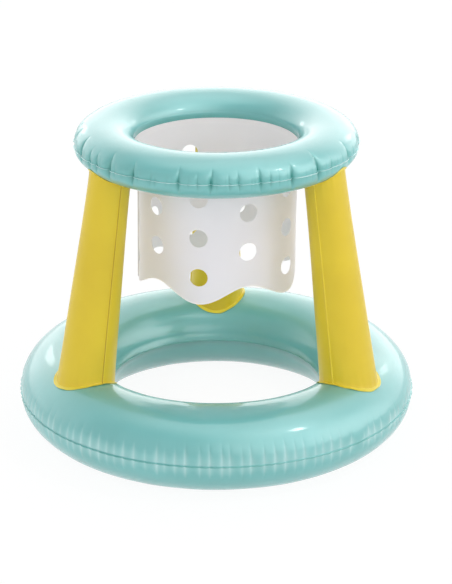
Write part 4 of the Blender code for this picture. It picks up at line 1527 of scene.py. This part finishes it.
@dataclass
class AirValve:
    """A push-in valve: a soft seat in the skin, a stem, a plug on its strap and a check flap."""

    name: str
    bodies: tuple[str, str, str]
    ring: InflatedRing
    azimuth: float
    angle: float
    bore: float = 4.5 * MM
    stem_radius: float = 6 * MM
    stem_above: float = 12 * MM
    stem_below: float = 6 * MM
    collar_radius: float = 7.5 * MM
    collar_thickness: float = 1.5 * MM
    seat_radius: float = 17 * MM
    seat_thickness: float = 0.6 * MM
    opening: float = 9.5 * MM
    gap: float = 0.3 * MM
    hinge_reach: float = 10 * MM
    strap_width: float = 5 * MM
    cap_thickness: float = 1.5 * MM
    nose_length: float = 5 * MM
    nose_taper: float = 1 * MM
    nose_wall: float = 1 * MM
    pull_tab: float = 3.5 * MM
    flap_radius: float = 5.4 * MM
    flap_thickness: float = 0.8 * MM
    flap_hinge_reach: float = 6.4 * MM
    rounding: float = 0.35 * MM

    @property
    def frame(self) -> Matrix:
        """The valve's frame: +Z out along the stem, +X towards the strap's hinge."""
        place, out = self.ring.surface(math.radians(self.azimuth), math.radians(self.angle))
        along = Vector((-math.sin(math.radians(self.azimuth)), math.cos(math.radians(self.azimuth)), 0))
        side = out.cross(along).normalized()
        matrix = Matrix((along, side, out)).transposed().to_4x4()
        matrix.translation = place
        return matrix

    def recess(self) -> Object:
        """The form of the hole in the skin, deep enough for the stem to be pushed in."""
        depth = 28 * MM
        form = lathe(
            f"{self.name}_recess",
            [(0.0, depth), (self.opening, depth), (self.opening, -depth), (0.0, -depth)],
        )
        form.matrix_world = self.frame
        return form

    def stem(self, vinyl: bpy.types.Material) -> Object:
        """The tube that is blown into, with its rounded collar and the strap's ear."""
        top, low, edge = self.stem_above, -self.stem_below, self.rounding
        under = top - self.collar_thickness
        tube = lathe(
            f"{self.name}_tube",
            [
                (self.bore, top - edge),
                (self.bore + edge, top),
                (self.collar_radius - edge, top),
                (self.collar_radius, top - edge),
                (self.collar_radius, under + edge),
                (self.collar_radius - edge, under),
                (self.stem_radius + edge, under),
                (self.stem_radius, under - edge),
                (self.stem_radius, low + edge),
                (self.stem_radius - edge, low),
                (self.bore, low),
            ],
            closed=True,
        )
        ear = rounded_bar(
            f"{self.name}_ear",
            (self.stem_radius, -self.strap_width / 2, under + self.collar_thickness / 5),
            (self.hinge_reach, self.strap_width / 2, top - self.collar_thickness / 5),
            self.collar_thickness / 6,
        )
        return united(f"{self.name}_blow_stem", tube, ear, place=self.frame, vinyl=vinyl)

    def plug(self, vinyl: bpy.types.Material) -> Object:
        """The cap with its hollow nose, strap and pull tab."""
        seat, edge = self.gap, self.rounding
        top = seat + self.cap_thickness
        root = self.bore - self.gap
        tip = root - self.nose_taper
        cap = lathe(
            f"{self.name}_cap",
            [
                (0.0, top - edge),
                (self.bore - edge, top - edge),
                (self.bore, top),
                (self.collar_radius - edge, top),
                (self.collar_radius, top - edge),
                (self.collar_radius, seat),
                (root, seat),
                (tip, -self.nose_length + edge),
                (tip - edge, -self.nose_length),
                (tip - self.nose_wall, -self.nose_length),
                (tip - self.nose_wall, seat),
                (0.0, seat),
            ],
        )
        cap.data.transform(Matrix.Translation((-self.hinge_reach, 0, 0)))
        margin = self.cap_thickness / 5
        strap = rounded_bar(
            f"{self.name}_strap",
            (-self.hinge_reach + self.bore, -self.strap_width / 2, seat + margin),
            (0.0, self.strap_width / 2, top - margin),
            margin,
        )
        tab = rounded_bar(
            f"{self.name}_tab",
            (-self.hinge_reach - self.collar_radius - self.pull_tab, -self.strap_width / 2, seat + margin),
            (-self.hinge_reach - self.bore, self.strap_width / 2, top - margin),
            margin,
        )
        place = self.frame @ Matrix.Translation((self.hinge_reach, 0, self.stem_above))
        return united(f"{self.name}_push_plug", cap, strap, tab, place=place, vinyl=vinyl)

    def flap(self, vinyl: bpy.types.Material) -> Object:
        """The check flap under the stem, with the strip that it swings on."""
        thick = self.flap_thickness
        disc = lathe(
            f"{self.name}_disc",
            [
                (0.0, 0.0),
                (self.flap_radius - 0.2 * MM, 0.0),
                (self.flap_radius, -0.2 * MM),
                (self.flap_radius, -thick + 0.2 * MM),
                (self.flap_radius - 0.2 * MM, -thick),
                (0.0, -thick),
            ],
        )
        disc.data.transform(Matrix.Translation((self.flap_hinge_reach, 0, 0)))
        margin = thick / 5
        strip = rounded_bar(
            f"{self.name}_strip",
            (0.0, -self.strap_width / 2, -thick + margin),
            (self.flap_hinge_reach - self.flap_radius / 2, self.strap_width / 2, -margin),
            margin / 2,
        )
        place = self.frame @ Matrix.Translation((-self.flap_hinge_reach, 0, -self.stem_below - self.gap))
        return united(f"{self.name}_inner_flap", disc, strip, place=place, vinyl=vinyl)

    def seat(self, vinyl: bpy.types.Material) -> Object:
        """The disc welded inside the skin, with the soft dish that guides the stem."""
        hole = self.stem_radius + self.gap
        under = -2 * self.gap
        thick = self.seat_thickness
        dish = lathe(
            f"{self.name}_dish",
            [
                (hole, -0.2 * MM),
                (hole + 0.6 * MM, 0.2 * MM),
                (hole + 1.2 * MM, 0.0),
                (self.opening - 0.8 * MM, under),
                (self.seat_radius, under - 2 * thick),
                (self.seat_radius, under - 3 * thick),
                (self.opening - 1.4 * MM, under - thick),
                (hole, -0.8 * MM),
            ],
            sides=96,
            closed=True,
        )
        for vertex in dish.data.vertices:
            # The disc is welded flat to the skin, so it bends with the ring both ways.
            vertex.co.z -= vertex.co.y**2 / (2 * self.ring.half_height) + vertex.co.x**2 / (2 * self.ring.seam_radius)
        return united(f"{self.name}_seat_dish", dish, place=self.frame, vinyl=vinyl)

    def build(self, vinyl: bpy.types.Material) -> None:
        """Builds the valve's four pieces and ties each to its body."""
        stem_body, plug_body, flap_body = self.bodies
        dress(self.seat(vinyl), ROOT_BODY, Slot.CLEAR, f"{self.name}_flange")
        dress(self.stem(vinyl), stem_body, Slot.CLEAR, f"{self.name}_stem")
        dress(self.plug(vinyl), plug_body, Slot.CLEAR, f"{self.name}_plug")
        dress(self.flap(vinyl), flap_body, Slot.CLEAR, f"{self.name}_check_flap")


# Studio


@dataclass(frozen=True)
class SoftBox:
    """A square lamp: where it stands, in degrees from the front towards +X, and its power."""

    name: str
    azimuth: float
    elevation: float
    distance: float
    size: float
    power: float


@dataclass(frozen=True)
class Glow:
    """A wide soft light in the gloss: its direction, the cosines of its edge and middle, and its strength."""

    toward: tuple[float, float, float]
    edge: float
    middle: float
    strength: float


@dataclass
class Studio:
    """A pale floor, soft lamps and the camera."""

    image: tuple[int, int] = (452, 584)
    camera_place: tuple[float, float, float] = (0.0, -3.243, 1.516)
    camera_pitch: float = 21.63
    focal_pixels: float = 2079.0
    object_axis: float = 216.3
    sensor: float = 36.0
    aim: tuple[float, float, float] = (0.0, 0.0, 0.28)
    horizon_light: float = 1.85
    zenith_light: float = 0.15
    front_gloss: float = 0.15
    glows: tuple[Glow, ...] = (
        Glow((0.15, 0.05, 0.98), edge=0.74, middle=0.98, strength=1.9),
        Glow((0.62, -0.62, 0.48), edge=0.6, middle=1.0, strength=2.5),
        Glow((0.97, -0.10, 0.20), edge=0.76, middle=1.0, strength=1.6),
        Glow((0.80, 0.60, 0.10), edge=0.6, middle=1.0, strength=0.8),
        Glow((0.00, 0.98, 0.20), edge=0.6, middle=1.0, strength=1.3),
        Glow((-0.85, 0.50, 0.20), edge=0.76, middle=1.0, strength=0.7),
        Glow((-0.30, -0.85, 0.40), edge=0.6, middle=1.0, strength=0.5),
    )
    floor_half: float = 15.0
    floor_glow: float = 0.88
    floor_white: float = 1.05
    lamps: tuple[SoftBox, ...] = (
        SoftBox("key_lamp", 60, 47, 2.4, 0.25, 4),
        SoftBox("rear_right_lamp", 145, 21, 2.6, 0.35, 1.0),
        SoftBox("rear_left_lamp", -154, 17, 2.6, 0.35, 1.0),
    )

    def floor(self) -> None:
        """A wide floor that is white to the camera and keeps the toy's shadow."""
        half = self.floor_half
        points = [(-half, -half, 0), (half, -half, 0), (half, half, 0), (-half, half, 0)]
        ground = mesh_object("floor", points, [(0, 1, 2, 3)])
        made = bpy.data.materials.new("matt_white_studio_paint")
        made.use_nodes = True
        tree = made.node_tree
        shader = tree.nodes["Principled BSDF"]
        shader.inputs["Base Color"].default_value = linear("#FAFAFA")
        shader.inputs["Roughness"].default_value = 0.9
        shader.inputs["Specular IOR Level"].default_value = 0.1
        rays = add_node(tree, "ShaderNodeLightPath").outputs
        glossy = add_node(
            tree, "ShaderNodeMath", {0: rays["Is Glossy Ray"], 1: rays["Is Transmission Ray"]}, operation="ADD"
        )
        seen = add_node(
            tree,
            "ShaderNodeMath",
            {0: rays["Is Camera Ray"], 1: glossy.outputs[0]},
            operation="ADD",
            use_clamp=True,
        )
        share = add_node(tree, "ShaderNodeMath", {0: seen.outputs[0], 1: self.floor_glow}, operation="MULTIPLY")
        white = add_node(tree, "ShaderNodeEmission", {"Color": (1, 1, 1, 1), "Strength": self.floor_white})
        mixed = add_node(
            tree, "ShaderNodeMixShader", {0: share.outputs[0], 1: shader.outputs[0], 2: white.outputs[0]}
        )
        tree.links.new(mixed.outputs[0], tree.nodes["Material Output"].inputs["Surface"])
        made.cycles.emission_sampling = "NONE"
        ground.data.materials.append(made)

    def world(self) -> None:
        """A white room: even light on the toy, and a backdrop with wide soft lights in its gloss."""
        made = bpy.data.worlds.new("white_studio")
        made.use_nodes = True
        tree = made.node_tree
        direction = add_node(tree, "ShaderNodeTexCoord").outputs["Generated"]
        parts = add_node(tree, "ShaderNodeSeparateXYZ", {0: direction}).outputs
        even = add_node(
            tree,
            "ShaderNodeMapRange",
            {"Value": parts["Z"], "To Min": self.horizon_light, "To Max": self.zenith_light},
        ).outputs["Result"]
        gloss = add_node(
            tree,
            "ShaderNodeMapRange",
            {"Value": parts["Y"], "From Min": -0.9, "From Max": 0.65, "To Min": self.front_gloss, "To Max": 1.0},
            interpolation_type="SMOOTHSTEP",
        ).outputs["Result"]
        for glow in self.glows:
            facing = add_node(
                tree, "ShaderNodeVectorMath", {0: direction, 1: glow.toward}, operation="DOT_PRODUCT"
            )
            patch = add_node(
                tree,
                "ShaderNodeMapRange",
                {
                    "Value": facing.outputs["Value"],
                    "From Min": glow.edge,
                    "From Max": glow.middle,
                    "To Max": glow.strength,
                },
                interpolation_type="SMOOTHSTEP",
            )
            gloss = add_node(
                tree, "ShaderNodeMath", {0: gloss, 1: patch.outputs["Result"]}, operation="ADD"
            ).outputs[0]
        rays = add_node(tree, "ShaderNodeLightPath").outputs
        glossy = add_node(
            tree, "ShaderNodeMath", {0: rays["Is Glossy Ray"], 1: rays["Is Transmission Ray"]}, operation="ADD"
        )
        falling = add_node(
            tree, "ShaderNodeMix", {0: glossy.outputs[0], 2: even, 3: gloss}, data_type="FLOAT"
        )
        shown = add_node(
            tree, "ShaderNodeMix", {0: rays["Is Camera Ray"], 2: falling.outputs[0], 3: 1.0}, data_type="FLOAT"
        )
        background = tree.nodes["Background"]
        background.inputs["Color"].default_value = (1, 1, 1, 1)
        tree.links.new(shown.outputs[0], background.inputs["Strength"])
        made.cycles.sampling_method = "NONE"
        bpy.context.scene.world = made

    def light(self) -> None:
        """The lamps, each turned to the toy."""
        for lamp in self.lamps:
            azimuth, elevation = math.radians(lamp.azimuth), math.radians(lamp.elevation)
            away = Vector(
                (
                    math.sin(azimuth) * math.cos(elevation),
                    -math.cos(azimuth) * math.cos(elevation),
                    math.sin(elevation),
                )
            )
            data = bpy.data.lights.new(lamp.name, "AREA")
            data.shape = "SQUARE"
            data.size = lamp.size
            data.energy = lamp.power
            obj = bpy.data.objects.new(lamp.name, data)
            obj.location = Vector(self.aim) + away * lamp.distance
            obj.rotation_euler = away.to_track_quat("Z", "Y").to_euler()
            bpy.context.scene.collection.objects.link(obj)

    def camera(self) -> None:
        """The camera, as the photograph was framed."""
        data = bpy.data.cameras.new("camera")
        width, height = self.image
        data.sensor_width = self.sensor
        data.lens = self.focal_pixels * self.sensor / height
        data.shift_x = (width / 2 - self.object_axis) / height
        data.clip_end = 100
        obj = bpy.data.objects.new("camera", data)
        obj.location = self.camera_place
        obj.rotation_euler = (math.radians(90 - self.camera_pitch), 0, 0)
        bpy.context.scene.collection.objects.link(obj)
        bpy.context.scene.camera = obj

    def build(self) -> None:
        """Builds the whole studio."""
        self.floor()
        self.world()
        self.light()
        self.camera()
        bpy.context.scene.view_settings.view_transform = "Standard"


def main() -> None:
    """Builds every sub-assembly in order and reports each piece."""
    logging.basicConfig(level=logging.INFO, format="%(message)s")
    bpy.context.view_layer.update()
    aqua = CalenderedVinyl(
        "calendered_aqua_pvc_sheet", colour="#6ABAB9", cloud="#64B4B2", painted_shade="#3A9C93", pale_and_painted_light="#C4E8E8", coat=0.75
    ).make()
    yellow = CalenderedVinyl(
        "calendered_yellow_pvc_sheet", colour="#E6C818", cloud="#E0C114", painted_shade="#A67C10", pale_and_painted_light="#F4E040", sheen_level=0.5, coat=0.2
    ).make()
    base = InflatedRing(
        name="base_ring",
        nodes=("base_ring_upper_skin", "base_ring_lower_skin"),
        outer_radius=335 * MM,
        hole_radius=179 * MM,
        height=134 * MM,
        centre_height=67 * MM,
        columns=1560,
        puckers=base_puckers(),
        # Painted shade darkens the base's outer seam, and painted highlights pale its flutes.
        line_height=0.8 * MM,
        outer_seam_painted_light=-1.4,
        gather_floor=0.45 * MM,
        gather_depth=2.6 * MM,
        gather_painted_light=0.75,
    )
    hoop = InflatedRing(
        name="hoop_ring",
        nodes=("hoop_ring_upper_skin", "hoop_ring_lower_skin"),
        outer_radius=236 * MM,
        hole_radius=135 * MM,
        height=68 * MM,
        centre_height=497 * MM,
        columns=1600,
        puckers=hoop_puckers(),
        skirt=8 * MM,
        ripple=0.8 * MM,
        slackness=0.8 * MM,
        # The hoop's weld lip gets a painted highlight and its outer seam a faint one; its gathers get painted shade.
        weld_painted_highlight=0.9,
        outer_seam_painted_light=0.1,
    )
    base_valve = AirValve("base_valve", ("base_stem", "base_plug", "base_flap"), base, 120, 18)
    hoop_valve = AirValve("hoop_valve", ("hoop_stem", "hoop_plug", "hoop_flap"), hoop, 150, -42)
    rings = ring_tree()
    base.build(rings, aqua, base_valve.recess())
    hoop_piece = hoop.build(rings, aqua, hoop_valve.recess())
    legs = (
        Leg("leg_left", 210, 96, base, hoop, seed=1, head_outset=6.5 * MM),
        Leg("leg_right", 330, -94, base, hoop, seed=2, head_outset=10.5 * MM, foot_outset=3 * MM),
        Leg("leg_back", 90, 96, base, hoop, seed=3),
    )
    for leg in legs:
        leg.build(yellow)
    Sleeve(hoop).build(FrostedVinyl().make(), hoop_piece)
    clear = MouldedVinyl().make()
    base_valve.build(clear)
    hoop_valve.build(clear)
    Studio().build()


if __name__ == "__main__":
    main()
